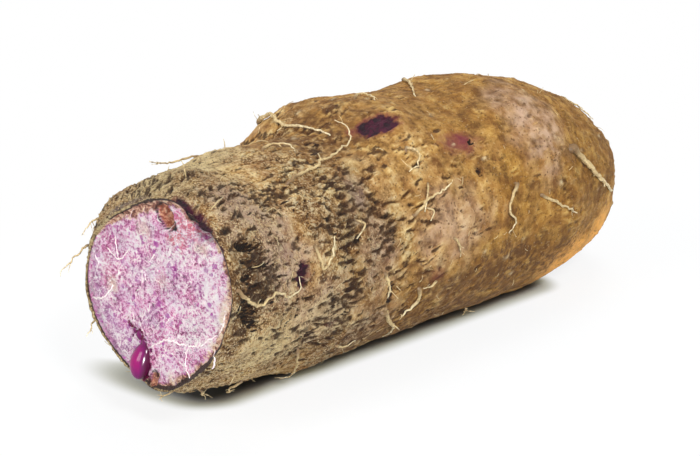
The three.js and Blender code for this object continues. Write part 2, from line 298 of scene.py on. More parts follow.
class Graph:
    """Adds nodes to one node tree, each linked to what feeds it."""

    def __init__(self, tree: NodeTree) -> None:
        """Starts on a tree."""
        self.tree = tree

    def node(self, kind: str, **settings: object) -> Node:
        """A new node.

        Args:
            kind: Its type, without "ShaderNode" in front.
            settings: Its settings by name.

        Returns:
            The node.
        """
        made = self.tree.nodes.new(kind if kind.startswith("Node") else "ShaderNode" + kind)
        for name, value in settings.items():
            setattr(made, name, value)
        return made

    def feed(self, target: Socket, source: object) -> None:
        """Feeds a socket.

        Args:
            target: The socket.
            source: Another socket, a plain value, or a colour's hex code.
        """
        if isinstance(source, Socket):
            self.tree.links.new(source, target)
        else:
            target.default_value = srgb(source) if isinstance(source, str) else source

    def wired(
        self, kind: str, inputs: dict[int | str, object], output: int | str = 0, **settings: object
    ) -> Socket:
        """What a new node puts out.

        Args:
            kind: The node's type.
            inputs: What feeds each input, by its name or number.
            output: The name or number of the output.
            settings: The node's settings by name.

        Returns:
            The output.
        """
        made = self.node(kind, **settings)
        for name, source in inputs.items():
            self.feed(made.inputs[name], source)
        return made.outputs[output]

    def math(self, operation: str, first: object, second: object = 0.0, clamp: bool = False) -> Socket:
        """The result of a sum on two values."""
        return self.wired("Math", {0: first, 1: second}, operation=operation, use_clamp=clamp)

    def vector(self, operation: str, first: object, second: object) -> Socket:
        """The result of a sum on two vectors."""
        return self.wired("VectorMath", {0: first, 1: second}, operation=operation)

    def join(self, x: object, y: object, z: object) -> Socket:
        """A vector made of three values."""
        return self.wired("CombineXYZ", {"X": x, "Y": y, "Z": z})

    def split(self, vector: Socket) -> tuple[Socket, ...]:
        """The three values of a vector."""
        return tuple(self.wired("SeparateXYZ", {0: vector}).node.outputs)

    def ramp(self, value: object, low: object, high: object, start: float = 0.0, end: float = 1.0) -> Socket:
        """A smooth step from start, where the value is low, to end, where it is high."""
        inputs = {"Value": value, "From Min": low, "From Max": high, "To Min": start, "To Max": end}
        return self.wired("MapRange", inputs, interpolation_type="SMOOTHSTEP")

    def mix(self, share: object, below: object, above: object, blend: str = "MIX") -> Socket:
        """One colour laid over another."""
        return self.wired("Mix", {0: share, 6: below, 7: above}, 2, data_type="RGBA", blend_type=blend)

    def layered(self, colour: Socket, *layers: tuple[object, ...]) -> Socket:
        """A colour with others laid over it in turn.

        Args:
            colour: The lowest colour.
            layers: The share and colour of each layer, and its way of blending if it isn't plain.

        Returns:
            The whole colour.
        """
        for share, *paint in layers:
            colour = self.mix(share, colour, *paint)
        return colour

    def sum(self, *values: object) -> Socket:
        """The sum of several values."""
        return reduce(partial(self.math, "ADD"), values)

    def times(self, *values: object) -> Socket:
        """The product of several values."""
        return reduce(partial(self.math, "MULTIPLY"), values)

    def less(self, first: object, second: object) -> Socket:
        """One value less another."""
        return self.math("SUBTRACT", first, second)

    def swing(self, value: Socket, gain: object) -> Socket:
        """How far a value is from one half, times a gain."""
        return self.times(self.less(value, 0.5), gain)

    def palette(self, value: Socket, stops: Stops) -> Socket:
        """The colour of a value.

        Args:
            value: The value, 0 to 1.
            stops: The values at which the colour is known, rising, each with its hex code.

        Returns:
            The colour.
        """
        drawn = self.wired("ValToRGB", {0: value})
        elements = drawn.node.color_ramp.elements
        while len(elements) < len(stops):
            elements.new(0.5)
        for element, (position, code) in zip(elements, stops):
            element.position = position
            element.color = srgb(code)
        return drawn

    def noise(
        self, place: Socket, scale: object, detail: float = 2.0, roughness: float = 0.5, output: str = "Fac"
    ) -> Socket:
        """Cloudy noise of a scale, 0 to 1, or of three kinds at once as a colour."""
        inputs = {"Vector": place, "Scale": scale, "Detail": detail, "Roughness": roughness}
        return self.wired("TexNoise", inputs, output)

    def kept(self, name: str) -> Socket:
        """A value kept on the piece's vertices."""
        return self.wired("Attribute", {}, "Fac", attribute_name=name)

    def place(self) -> Socket:
        """The place on the object, in millimetres."""
        return self.vector("MULTIPLY", self.wired("TexCoord", {}, "Object"), (1 / MM, 1 / MM, 1 / MM))

    def bump(self, height: Socket, depth: float) -> Socket:
        """A normal tilted by a height, of which 1 measures the depth in millimetres."""
        return self.wired("Bump", {"Distance": depth * MM, "Height": height})

    def seen(self) -> Socket:
        """Where a surface is looked at.

        Returns:
            1 for the camera, a mirror or glass, and 0 where the surface only gives light.
        """
        rays = self.node("LightPath").outputs
        either = self.math("MAXIMUM", rays["Is Camera Ray"], rays["Is Glossy Ray"])
        return self.math("MAXIMUM", either, rays["Is Transmission Ray"])

    def show(self, share: Socket, below: Socket, above: Socket) -> None:
        """Sends a blend of two shaders to the tree's output.

        Args:
            share: How much of the second shows.
            below: The first shader.
            above: The second shader.
        """
        blend = self.wired("MixShader", {0: share, 1: below, 2: above})
        output = next(node for node in self.tree.nodes if node.type.startswith("OUTPUT"))
        self.feed(output.inputs["Surface"], blend)


class Effect(Graph):
    """A node group that several finishes share, built once."""

    def __init__(self, name: str, inputs: dict[str, float], outputs: tuple[str, ...]) -> None:
        """Opens the group.

        Args:
            name: The group's name.
            inputs: The name and usual value of each input but the place.
            outputs: The names of the values it puts out.
        """
        super().__init__(bpy.data.node_groups.new(name, "ShaderNodeTree"))
        socket = self.tree.interface.new_socket
        socket("Place", in_out="INPUT", socket_type="NodeSocketVector")
        for label, value in inputs.items():
            socket(label, in_out="INPUT", socket_type="NodeSocketFloat").default_value = value
        for label in outputs:
            socket(label, in_out="OUTPUT", socket_type="NodeSocketFloat")
        self.given = self.node("NodeGroupInput").outputs
        self.result = self.node("NodeGroupOutput").inputs

    def placed(self, graph: Graph, output: str, **values: object) -> Socket:
        """One output of the group, placed in a material with its own values."""
        return graph.wired("Group", values, output, node_tree=self.tree)


class Streaks(Effect):
    """Short dashes that all run the same way, along X."""

    def __init__(self) -> None:
        """Builds the group."""
        super().__init__("streaks", {"Length": 3.0, "Width": 0.6, "Share": 0.3, "Edge": 0.08}, ("Mask",))
        given = self.given
        size = self.join(given["Length"], given["Width"], given["Width"])
        drawn = self.noise(self.vector("DIVIDE", given["Place"], size), 1.0, 2.0, 0.55)
        low = self.less(0.78, self.times(given["Share"], 0.42))
        self.feed(self.result["Mask"], self.ramp(drawn, low, self.sum(low, given["Edge"])))


class Specks(Effect):
    """Grains of one size, of which a share is picked out."""

    def __init__(self) -> None:
        """Builds the group."""
        super().__init__("specks", {"Size": 0.6, "Share": 0.3, "Edge": 0.25}, ("Mask", "Tone"))
        given = self.given
        wobble = self.noise(given["Place"], self.math("DIVIDE", 0.8, given["Size"]), output="Color")
        shifted = self.vector("MULTIPLY", wobble, self.join(*[given["Size"]] * 3))
        inputs = {
            "Vector": self.vector("ADD", given["Place"], shifted),
            "Scale": self.math("DIVIDE", 1.0, given["Size"]),
        }
        cells = self.wired("TexVoronoi", inputs, feature="F1").node.outputs
        tone = self.split(cells["Color"])[0]
        fade = self.ramp(cells["Distance"], self.sum(0.35, given["Edge"]), 0.35)
        self.feed(self.result["Mask"], self.times(self.math("LESS_THAN", tone, given["Share"]), fade))
        self.feed(self.result["Tone"], tone)


class Mottle(Effect):
    """Slow cloudy patches, 0 to 1, with a chosen contrast."""

    def __init__(self) -> None:
        """Builds the group."""
        super().__init__("mottle", {"Size": 10.0, "Contrast": 3.0}, ("Value",))
        given = self.given
        drawn = self.noise(given["Place"], self.math("DIVIDE", 1.0, given["Size"]), 3.0)
        spread_out = self.swing(drawn, given["Contrast"])
        self.feed(self.result["Value"], self.math("ADD", spread_out, 0.5, clamp=True))


@dataclass(frozen=True)
class Effects:
    """The shared effects."""

    streaks: Streaks = field(default_factory=Streaks)
    specks: Specks = field(default_factory=Specks)
    mottle: Mottle = field(default_factory=Mottle)


@dataclass
class Finish(Graph):
    """A material: a Principled surface whose colour, roughness and normal are painted by nodes."""

    effects: Effects
    name: str = "finish"
    shine: float = 0.5
    surface: Node = field(init=False)

    def made(self) -> Material:
        """The finished material.

        Returns:
            The material.
        """
        material = bpy.data.materials.new(self.name)
        material.use_nodes = True
        super().__init__(material.node_tree)
        self.surface = material.node_tree.nodes["Principled BSDF"]
        self.paint()
        return material

    def paint(self) -> None:
        """Paints the surface."""
        raise NotImplementedError

    def lay(self, colour: Socket, roughness: Socket, height: Socket, depth: float) -> None:
        # A painted highlight on the slits' raised lips.
        """Feeds the surface.

        Args:
            colour: Its colour.
            roughness: How rough it is.
            height: What tilts its normal.
            depth: What a height of 1 measures, in millimetres.
        """
        for name, source in (
            ("Specular IOR Level", self.shine), ("Base Color", colour), ("Roughness", roughness),
            ("Normal", self.bump(height, depth)),
        ):
            self.feed(self.surface.inputs[name], source)

    def streaks(self, place: Socket, **values: object) -> Socket:
        """The mask of some streaks."""
        return self.effects.streaks.placed(self, "Mask", Place=place, **values)

    def specks(self, place: Socket, **values: object) -> Socket:
        """The mask of some specks."""
        return self.effects.specks.placed(self, "Mask", Place=place, **values)

    def mottle(self, place: Socket, size: float, contrast: float = 3.0) -> Socket:
        """Cloudy patches of a size."""
        return self.effects.mottle.placed(self, "Value", Place=place, Size=size, Contrast=contrast)


@dataclass
class SkinFinish(Finish):
    """Corky brown skin: grainy tan ground, dark lengthwise dashes, wounds, crusts and pale scabs, with
    painted highlights on ridges, painted shade in folds, dimples and low on the side, and a painted glow.
    """

    name: str = "yam_skin"
    near: Stops = (
        (0.0, "#28160a"), (0.2, "#5a3b1f"), (0.38, "#937249"), (0.52, "#b59261"), (0.7, "#cdaf7f"),
        (0.95, "#e8d7b2")
    )
    beyond: Stops = (
        (0.0, "#3a250d"), (0.25, "#66441a"), (0.45, "#8e682f"), (0.62, "#a98142"), (0.9, "#c8a768")
    )
    rosy: str = "#c2a48e"
    olive: str = "#a8923e"
    russet: str = "#8a5626"
    silver: str = "#d8c290"
    soil_and_shade: str = "#5a3a1a"
    dash: str = "#3e240d"
    rung: str = "#2e1a08"
    dark: str = "#1a1006"
    painted_ridge_highlight: str = "#dcc59a"
    stain: str = "#1e0813"
    stain_light: str = "#480d28"
    stain_edge: str = "#702c34"
    scab: str = "#dccaa2"
    grey: str = "#5f5460"
    painted_glow: str = "#efae58"
    shine: float = 0.15

    def paint(self) -> None:
        """Paints the surface."""
        place = self.place()
        drift = self.swing(self.mottle(place, 16.0, 3.0), 36.0)
        ahead = self.sum(self.split(place)[0], drift)
        far = self.ramp(ahead, -76.0, 25.0)
        calm = self.ramp(ahead, -88.0, -22.0, 1.0, 0.22)
        rough = self.kept("rough")
        weave = self.noise(self.vector("DIVIDE", place, (2.4, 0.7, 0.7)), 1.0, 4.0, 0.6)
        grain = self.noise(place, 1.7, 2.5, 0.65)
        # The tone is raised on the slits' lips: a painted highlight on the ridges.
        tone = self.sum(
            self.ramp(far, 0.0, 1.0, 0.56, 0.52),
            self.swing(grain, self.times(calm, self.sum(2.3, self.times(rough, 0.4)))),
            self.swing(weave, self.times(self.sum(calm, 0.15), self.sum(0.8, self.times(rough, 0.5)))),
            self.swing(self.mottle(place, 3.0, 3.5), self.ramp(far, 0.0, 1.0, 0.42, 0.32)),
            self.swing(self.mottle(place, 7.0, 4.0), 0.3),
            self.times(self.kept("painted_ridge_highlight"), 0.3),
        )
        ground = self.mix(far, self.palette(tone, self.near), self.palette(tone, self.beyond))
        dense = self.times(rough, calm)
        fine = self.streaks(place, Length=2.6, Width=0.75, Share=self.times(dense, 0.6), Edge=0.1)
        rung = self.kept("rung")
        rungs = self.streaks(place, Length=6.5, Width=1.5, Share=self.times(rung, 0.8), Edge=0.05)
        crumbs = self.specks(place, Size=0.55, Share=self.times(calm, 0.3))
        glints = self.specks(place, Size=0.5, Share=self.times(calm, 0.24))
        ragged = self.swing(self.noise(place, 1.3, 3.0, 0.7), 0.9)
        slit = self.sum(self.kept("slit"), ragged)
        stained = self.sum(self.kept("stain"), self.times(ragged, 0.8))
        clot = self.mix(self.times(self.mottle(place, 2.0, 5.0), 0.8), self.stain, self.stain_light)
        pit = self.kept("pit")
        # Painted shade: the folds, kept in the pit mask, darken to brown and near black.
        fold = self.sum(pit, self.swing(weave, self.ramp(pit, 0.0, 0.25, 0.0, 5.0)))
        colour = self.layered(
            self.tinted(place, ground),
            (self.times(crumbs, 0.75), self.soil_and_shade),
            # Glints: painted highlights, specks in the ridge highlight colour.
            (self.times(glints, calm), self.painted_ridge_highlight),
            (self.times(fine, 0.85), self.dash),
            (self.times(rungs, self.ramp(rung, 0.05, 0.3)), self.rung),
            (self.ramp(slit, 0.2, 0.6, 0.0, 0.9), self.dash),
            (self.ramp(slit, 0.6, 1.0), self.dark),
            (self.kept("stain_edge"), self.stain_edge),
            (self.ramp(stained, 0.2, 0.85), clot),
            (self.kept("scab"), self.scab),
            # painted shade in the folds
            (self.ramp(fold, 0.2, 0.5), self.dash),
            (self.ramp(fold, 0.5, 0.95), self.dark),
        )
        wet = self.times(self.kept("stain"), 0.1)
        dry = self.ramp(tone, 0.0, 1.0, 0.8, 0.62)
        lumps = self.sum(self.times(tone, 1.0), self.times(glints, 0.3))
        sunk = self.sum(self.times(fine, 0.6), self.times(crumbs, 0.3), self.times(rungs, 0.7))
        height = self.less(lumps, sunk)
        self.lay(colour, self.less(dry, wet), height, 0.55)

    def tinted(self, place: Socket, ground: Socket) -> Socket:
        """The ground colour with its slow drifts: rosy, olive, russet, silver, a painted glow, and soil with
        painted shade.

        Args:
            place: The place on the object.
            ground: The skin's own colour.

        Returns:
            The tinted colour.
        """
        cloud = self.mottle(place, 3.0, 3.0)
        aside = self.vector("ADD", place, (70.0, 0.0, 0.0))
        return self.layered(
            ground,
            (self.times(self.mottle(place, 7.0, 5.0), 0.4), self.olive, "SOFT_LIGHT"),
            (self.times(self.mottle(aside, 5.0, 6.0), 0.28), self.russet),
            (self.times(self.kept("pale"), self.sum(0.25, cloud), 0.7), self.rosy),
            (self.times(self.kept("silver"), self.sum(0.3, cloud), 0.9), self.silver),
            # Painted glow: an orange light painted low on the far end.
            (self.kept("painted_glow"), self.painted_glow),
            (self.kept("grey"), self.grey),
            # Soil, and painted shade low on the side towards -Y and in the dimples.
            (self.times(self.kept("soil_and_shade"), self.sum(0.35, self.mottle(place, 1.8, 4.0)), 0.8), self.soil_and_shade),
        )


@dataclass
class FleshFinish(Finish):
    """Cut flesh: pale crumbs and fibres over pink, magenta and purple, with a dark rind at its rim."""

    name: str = "yam_flesh"
    crumb: Stops = (
        (0.0, "#551f3c"), (0.18, "#934470"), (0.34, "#ca77a6"), (0.5, "#e6acca"), (0.68, "#f7dce5"),
        (0.9, "#fff7f2")
    )
    white: str = "#fdf4f4"
    crack: str = "#7c4468"
    magenta: str = "#b02ca0"
    cream: str = "#f3dfbc"
    blush: str = "#e07a86"
    chalk: str = "#fbf0ee"
    dusk: str = "#94709e"
    bruise: str = "#8f7088"
    crust: Stops = (
        (0.22, "#6a3628"), (0.42, "#b87a64"), (0.6, "#deb094"), (0.8, "#efd8ba")
    )
    rind: str = "#341b12"
    peel: Stops = ((0.3, "#5e4728"), (0.5, "#ab9060"), (0.75, "#d8c696"))
    lilac: str = "#b98fd0"
    rose: str = "#ea8fb4"
    wound: str = "#22101a"
    pit: Stops = ((0.25, "#9c4c38"), (0.48, "#cc8064"), (0.72, "#edc09c"))
    juice: str = "#74123f"
    hole_shade: str = "#2c0f10"
    shine: float = 0.3

    def paint(self) -> None:
        """Paints the surface."""
        place = self.vector("DIVIDE", self.place(), (1.0, 1.45, 1.0))
        crumb = self.noise(place, 1.35, 5.0, 0.75)
        cells = self.effects.specks.placed(self, "Tone", Place=place, Size=1.15, Share=0.5, Edge=0.3)
        lumps = self.mottle(place, 4.0, 4.0)
        pale, tone = self.kept("pale"), self.sum(0.56, self.swing(crumb, 2.9))
        tone = self.sum(tone, self.swing(cells, 0.3), self.swing(lumps, 0.25), self.times(pale, 0.1))
        aside = self.vector("ADD", place, (40.0, 0.0, 0.0))
        violet = self.times(self.kept("violet"), self.ramp(tone, 0.8, 0.35))
        spots = self.times(self.specks(place, Size=1.5, Share=0.25), self.mottle(place, 4.0, 5.0))
        swirl = self.vector("MULTIPLY", self.noise(place, 0.5, output="Color"), (1.6, 1.6, 1.6))
        warped = self.vector("ADD", place, swirl)
        fold = self.math("ABSOLUTE", self.swing(self.noise(warped, 0.55, 1.0), 1.0))
        split = self.math("ABSOLUTE", self.swing(self.noise(warped, 1.1, 2.0), 1.0))
        cracked = self.times(self.ramp(split, 0.022, 0.004), self.mottle(place, 6.0, 5.0), 0.8)
        fibre = self.times(self.ramp(fold, 0.03, 0.008), self.ramp(crumb, 0.38, 0.5), 0.75)
        colour = self.layered(
            self.palette(tone, self.crumb),
            (self.times(self.mottle(place, 5.5, 5.0), 0.3), self.lilac, "MULTIPLY"),
            (self.times(self.mottle(aside, 4.5, 5.0), 0.35), self.rose, "OVERLAY"),
            (self.times(self.kept("grey"), self.ramp(tone, 0.9, 0.3)), self.dusk),
            (self.times(pale, self.ramp(tone, 0.35, 0.65), 0.75), self.chalk),
            (self.math("MAXIMUM", violet, self.times(spots, 0.8)), self.magenta),
            (self.times(self.kept("cream"), 0.8), self.cream),
            (self.times(self.kept("blush"), self.ramp(tone, 0.9, 0.4)), self.blush),
            (cracked, self.crack),
            (fibre, self.white),
        )
        colour = self.wounded(colour, crumb, cells)
        wet = self.math("MAXIMUM", self.kept("wet"), self.times(self.kept("stain"), 0.6))
        dry = self.ramp(tone, 0.2, 0.9, 0.42, 0.62)
        height = self.sum(self.times(tone, 1.2), self.times(fibre, 0.4), self.times(cracked, -0.4))
        self.lay(colour, self.less(dry, self.times(wet, 0.3)), height, 0.45)

    def wounded(self, colour: Socket, crumb: Socket, cells: Socket) -> Socket:
        """The flesh with its rim, hollows, stains and juice laid over it by their ragged masks, with painted
        shade in its pits and around its hollows.

        Args:
            colour: The flesh's colour.
            crumb: The noise that frays the masks.
            cells: The tone of the grains.

        Returns:
            The whole colour.
        """
        shade = self.swing(crumb, 2.0)
        grooved = self.palette(self.sum(shade, 0.45), self.pit)
        skin = self.palette(self.sum(shade, 0.5), self.peel)
        crust = self.palette(self.sum(self.swing(crumb, 2.6), self.swing(cells, 0.5), 0.42), self.crust)
        ragged = self.swing(crumb, 1.26)
        for name, paint in (
            ("bruise", self.bruise), ("crust", crust), ("rind", self.rind), ("peel", skin),
            # The pits and the ring around each hollow take a dark painted shade.
            ("pit_rim_shade", self.hole_shade), ("hollow", grooved), ("stain", self.wound), ("wet", self.juice),
            ("pit", self.hole_shade),
        ):
            kept = self.kept(name)
            shown = self.ramp(self.sum(kept, ragged), 0.25, 0.75)
            colour = self.mix(self.times(shown, self.ramp(kept, 0.0, 0.3)), colour, paint)
        return colour


@dataclass
class RootletFinish(Finish):
    """Dry rootlets: brown where they leave the skin, cream towards the tip, with fine lengthwise grain."""

    name: str = "yam_rootlet"
    base: str = "#74552c"
    shaft: str = "#cfb682"
    tip: str = "#eadbb2"
    fleck: str = "#7c5c34"

    def paint(self) -> None:
        """Paints the surface."""
        place = self.place()
        reach = self.kept("reach")
        flecks = self.specks(place, Size=0.7, Share=0.25)
        bands = self.mottle(place, 1.6, 4.0)
        colour = self.layered(
            self.mix(self.ramp(reach, 0.0, 0.2), self.base, self.shaft),
            (self.ramp(reach, 0.4, 1.0), self.tip),
            (self.times(flecks, 0.5), self.fleck),
            (self.times(bands, 0.3), self.base),
        )
        height = self.sum(self.noise(place, 3.0, 3.0), self.times(flecks, 0.4))
        self.lay(colour, self.ramp(bands, 0.0, 1.0, 0.6, 0.8), height, 0.12)


@dataclass
class FibreFinish(Finish):
    """Torn strands in the flesh: white, with a hint of pink where they lie in the cut."""

    name: str = "yam_fibre"
    strand: str = "#fbf2ea"
    shade: str = "#dcb9cc"

    def paint(self) -> None:
        """Paints the surface."""
        place = self.place()
        tinge = self.times(self.mottle(place, 0.9, 4.0), 0.6)
        colour, roughness = self.mix(tinge, self.strand, self.shade), self.ramp(tinge, 0.0, 0.6, 0.45, 0.65)
        self.lay(colour, roughness, self.noise(place, 3.0, 3.0), 0.1)


@dataclass
class JuiceFinish(Finish):
    """Wet magenta juice, with painted shade darkest where the drop turns away from the cut's outward
    direction, and a painted light, rosier colour high on its outward-facing part.
    """

    name: str = "yam_juice"
    deep: str = "#4a0630"
    body: str = "#640250"
    thin: str = "#8c045c"
    # The heights over which the painted light comes in.
    low: float = 14.0
    high: float = 20.0
    shine: float = 0.3

    def paint(self) -> None:
        """Paints the surface."""
        place = self.place()
        swirl = self.times(self.mottle(place, 2.0, 3.0), 2.5)
        level = self.sum(self.split(place)[2], swirl)
        shade_facing = self.kept("shade_facing")
        # Painted light high on the outward-facing part, and painted shade where the drop turns away.
        lit = self.times(self.ramp(shade_facing, 0.6, 1.0), self.ramp(level, self.low, self.high))
        body = self.mix(self.ramp(shade_facing, 0.25, 0.85), self.deep, self.body)
        colour = self.mix(lit, body, self.thin)
        roughness = self.ramp(swirl, 0.0, 2.5, 0.13, 0.18)
        self.lay(colour, roughness, self.noise(place, 0.5, 1.0), 0.05)


@dataclass
class FloorFinish(Finish):
    """A pale cool floor, with a painted shadow where the yam rests, that fades into the white background
    away from it.

    The yam rests along a line between the two ends of its lie, which crosses the frame's X line at pivot
    and drifts sideways. Each band fades the floor from one distance off the line to another by a share.
    Behind the line, distances shrink by narrowed before the mouth, which runs from one place along X to
    another, and less along it, so the painted shadow reaches further there.
    """

    name: str = "pale_floor"
    paper: str = "#f7fafc"
    shade: str = "#eef4f8"
    lie: tuple[float, float] = (-73.0, 56.0)
    pivot: float = -61.5
    drift: float = 0.09
    bands: tuple[Point, ...] = ((6.5, 13.0, 0.85), (13.0, 200.0, 0.15))
    painted_shadow: str = "#2a261c"
    painted_shadow_tint: str = "#8f8d70"
    painted_shadow_reach: float = 12.0
    mouth: tuple[float, float] = (-72.0, -48.0)
    narrowed: float = 0.36
    shine: float = 0.2

    def paint(self) -> None:
        """Paints the surface."""
        place = self.place()
        self.feed(self.surface.inputs["Roughness"], 0.6)
        self.feed(self.surface.inputs["Specular IOR Level"], self.shine)
        x, y, _ = self.split(place)
        held = self.math("MINIMUM", self.math("MAXIMUM", x, self.lie[0]), self.lie[1])
        aside = self.sum(y, self.times(self.less(held, self.pivot), self.drift))
        behind = self.times(self.math("MAXIMUM", aside, 0.0), self.ramp(x, *self.mouth, self.narrowed))
        aside = self.sum(self.math("MINIMUM", aside, 0.0), behind)
        away = self.join(self.less(x, held), aside, 0.0)
        distance = self.wired("VectorMath", {0: away}, "Value", operation="LENGTH")
        paper = self.mix(self.mottle(place, 90.0), self.paper, self.shade)
        # Painted shadow: the floor's colour darkens towards the line the yam rests on, and its camera-seen
        # glow turns olive near it.
        painted_shadow_tint_share = self.ramp(distance, 0.7 * self.painted_shadow_reach, 1.35 * self.painted_shadow_reach, 1.0, 0.0)
        painted_shadow_share = self.ramp(distance, 0.3 * self.painted_shadow_reach, self.painted_shadow_reach, 0.95, 0.0)
        self.feed(self.surface.inputs["Base Color"], self.mix(painted_shadow_share, paper, self.painted_shadow))
        fades = [self.ramp(distance, near, beyond, 0.0, share) for near, beyond, share in self.bands]
        glow = self.wired("Emission", {"Color": self.mix(painted_shadow_tint_share, "#ffffff", self.painted_shadow_tint)})
        self.show(self.times(self.seen(), self.sum(*fades)), self.surface.outputs[0], glow)


# --- Places on the tuber ---


@dataclass(frozen=True)
class Growth:
    """The line that the tuber grew along, and the knife's plane across it, as the frame has them.

    A station is a distance along, the middle's height and its drift sideways. Near the cut the tuber's
    sections lean with the knife's plane.
    """

    stations: tuple[Point, ...] = (
        (0, 36, -7), (14, 34.5, 0), (30, 31.5, 3.5), (48, 30.5, 4), (68, 30, 5), (90, 32.6, 4.5),
        (113, 32.2, 2.5), (139, 32.6, 0.5), (163, 30.8, 0.5), (185, 28, 1.5), (198, 25.5, 2),
        (210, 21, 2.5),
    )
    far_shoulder: float = 150.0
    far_end: float = 210.0
    height_ratio: float = 0.94
    knife_height: float = 30.0
    knife_turn: float = 12.0
    knife_lean: float = 5.0
    knife_reach: float = 40.0
    bead_across: float = -0.4

    @cached_property
    def origin(self) -> Array:
        """Where the growth's own zero lies in the frame, in millimetres."""
        end, (low, high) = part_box("tuber")[1].x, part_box("juice_bead")
        return np.array([end / MM - self.far_end, (low.y + high.y) / 2 / MM - self.bead_across, 0.0])

    def middle(self, along: Array) -> tuple[Array, Array]:
        """The middle of the section at distances along: how far across, and how high."""
        known, heights, drifts = np.array(self.stations, float).T
        return np.interp(along, known, drifts), np.interp(along, known, heights)

    def cut_depth(self, across: Array, height: Array) -> Array:
        """How far the knife's plane lies along the tuber."""
        lean = math.tan(math.radians(self.knife_lean)) * (height - self.knife_height)
        return math.tan(math.radians(self.knife_turn)) * across + lean

    def leant(self, along: Array, across: Array, height: Array) -> Array:
        """The points of sections, in the frame's millimetres, at distances along, across and up."""
        x = along + np.maximum(0.0, 1.0 - along / self.knife_reach) * self.cut_depth(across, height)
        return np.stack(np.broadcast_arrays(x, across, height), -1) + self.origin

    @property
    def cut_normal(self) -> Array:
        """The direction straight out of the cut."""
        turn, lean = math.radians(self.knife_turn), math.radians(self.knife_lean)
        return unit(np.array([-1.0, math.tan(turn), math.tan(lean)]))

    def on_cut(self, across: float, height: float, out: float = 0.0) -> Array:
        """A point on the cut, moved straight out of it by a distance."""
        flat = self.leant(np.array(0.0), np.array(float(across)), np.array(float(height)))
        return flat + self.cut_normal * out


@dataclass(frozen=True)
class Patch:
    """A soft-edged oval: its middle, half sizes, weight and lean.

    On the skin its place and sizes run along and around; on the cut they run across and up.
    """

    first: float
    second: float
    long: float
    wide: float
    weight: float = 1.0
    lean: float = 0.0

    def distance(self, first: Array, second: Array) -> Array:
        """How far places are from the middle, 1 being the edge, given how far off they are both ways.

        Args:
            first: How far off the places are one way.
            second: How far off they are the other way.

        Returns:
            The distances.
        """
        cosine, sine = math.cos(math.radians(self.lean)), math.sin(math.radians(self.lean))
        along, aside = first * cosine + second * sine, second * cosine - first * sine
        return np.sqrt((along / self.long) ** 2 + (aside / self.wide) ** 2)


def spread(
    group: tuple[Patch, ...], oval: Callable[[Patch], Array], ends: tuple[float, float], ragged: Array
) -> Array:
    """A mask of ragged patches, each whole within the second of its ends and gone beyond the first."""
    return np.max([step(*ends, oval(patch) + ragged) * patch.weight for patch in group], 0)


def patches(*rows: tuple[float, ...]) -> tuple[Patch, ...]:
    """Patches, each given by its middle, half sizes, weight and lean."""
    return tuple(Patch(*row) for row in rows)


@dataclass(frozen=True)
class Band:
    """A belt of rough skin around part of the tuber: its line as (turn, along), and half its width."""

    line: Table
    wide: float
    weight: float = 1.0


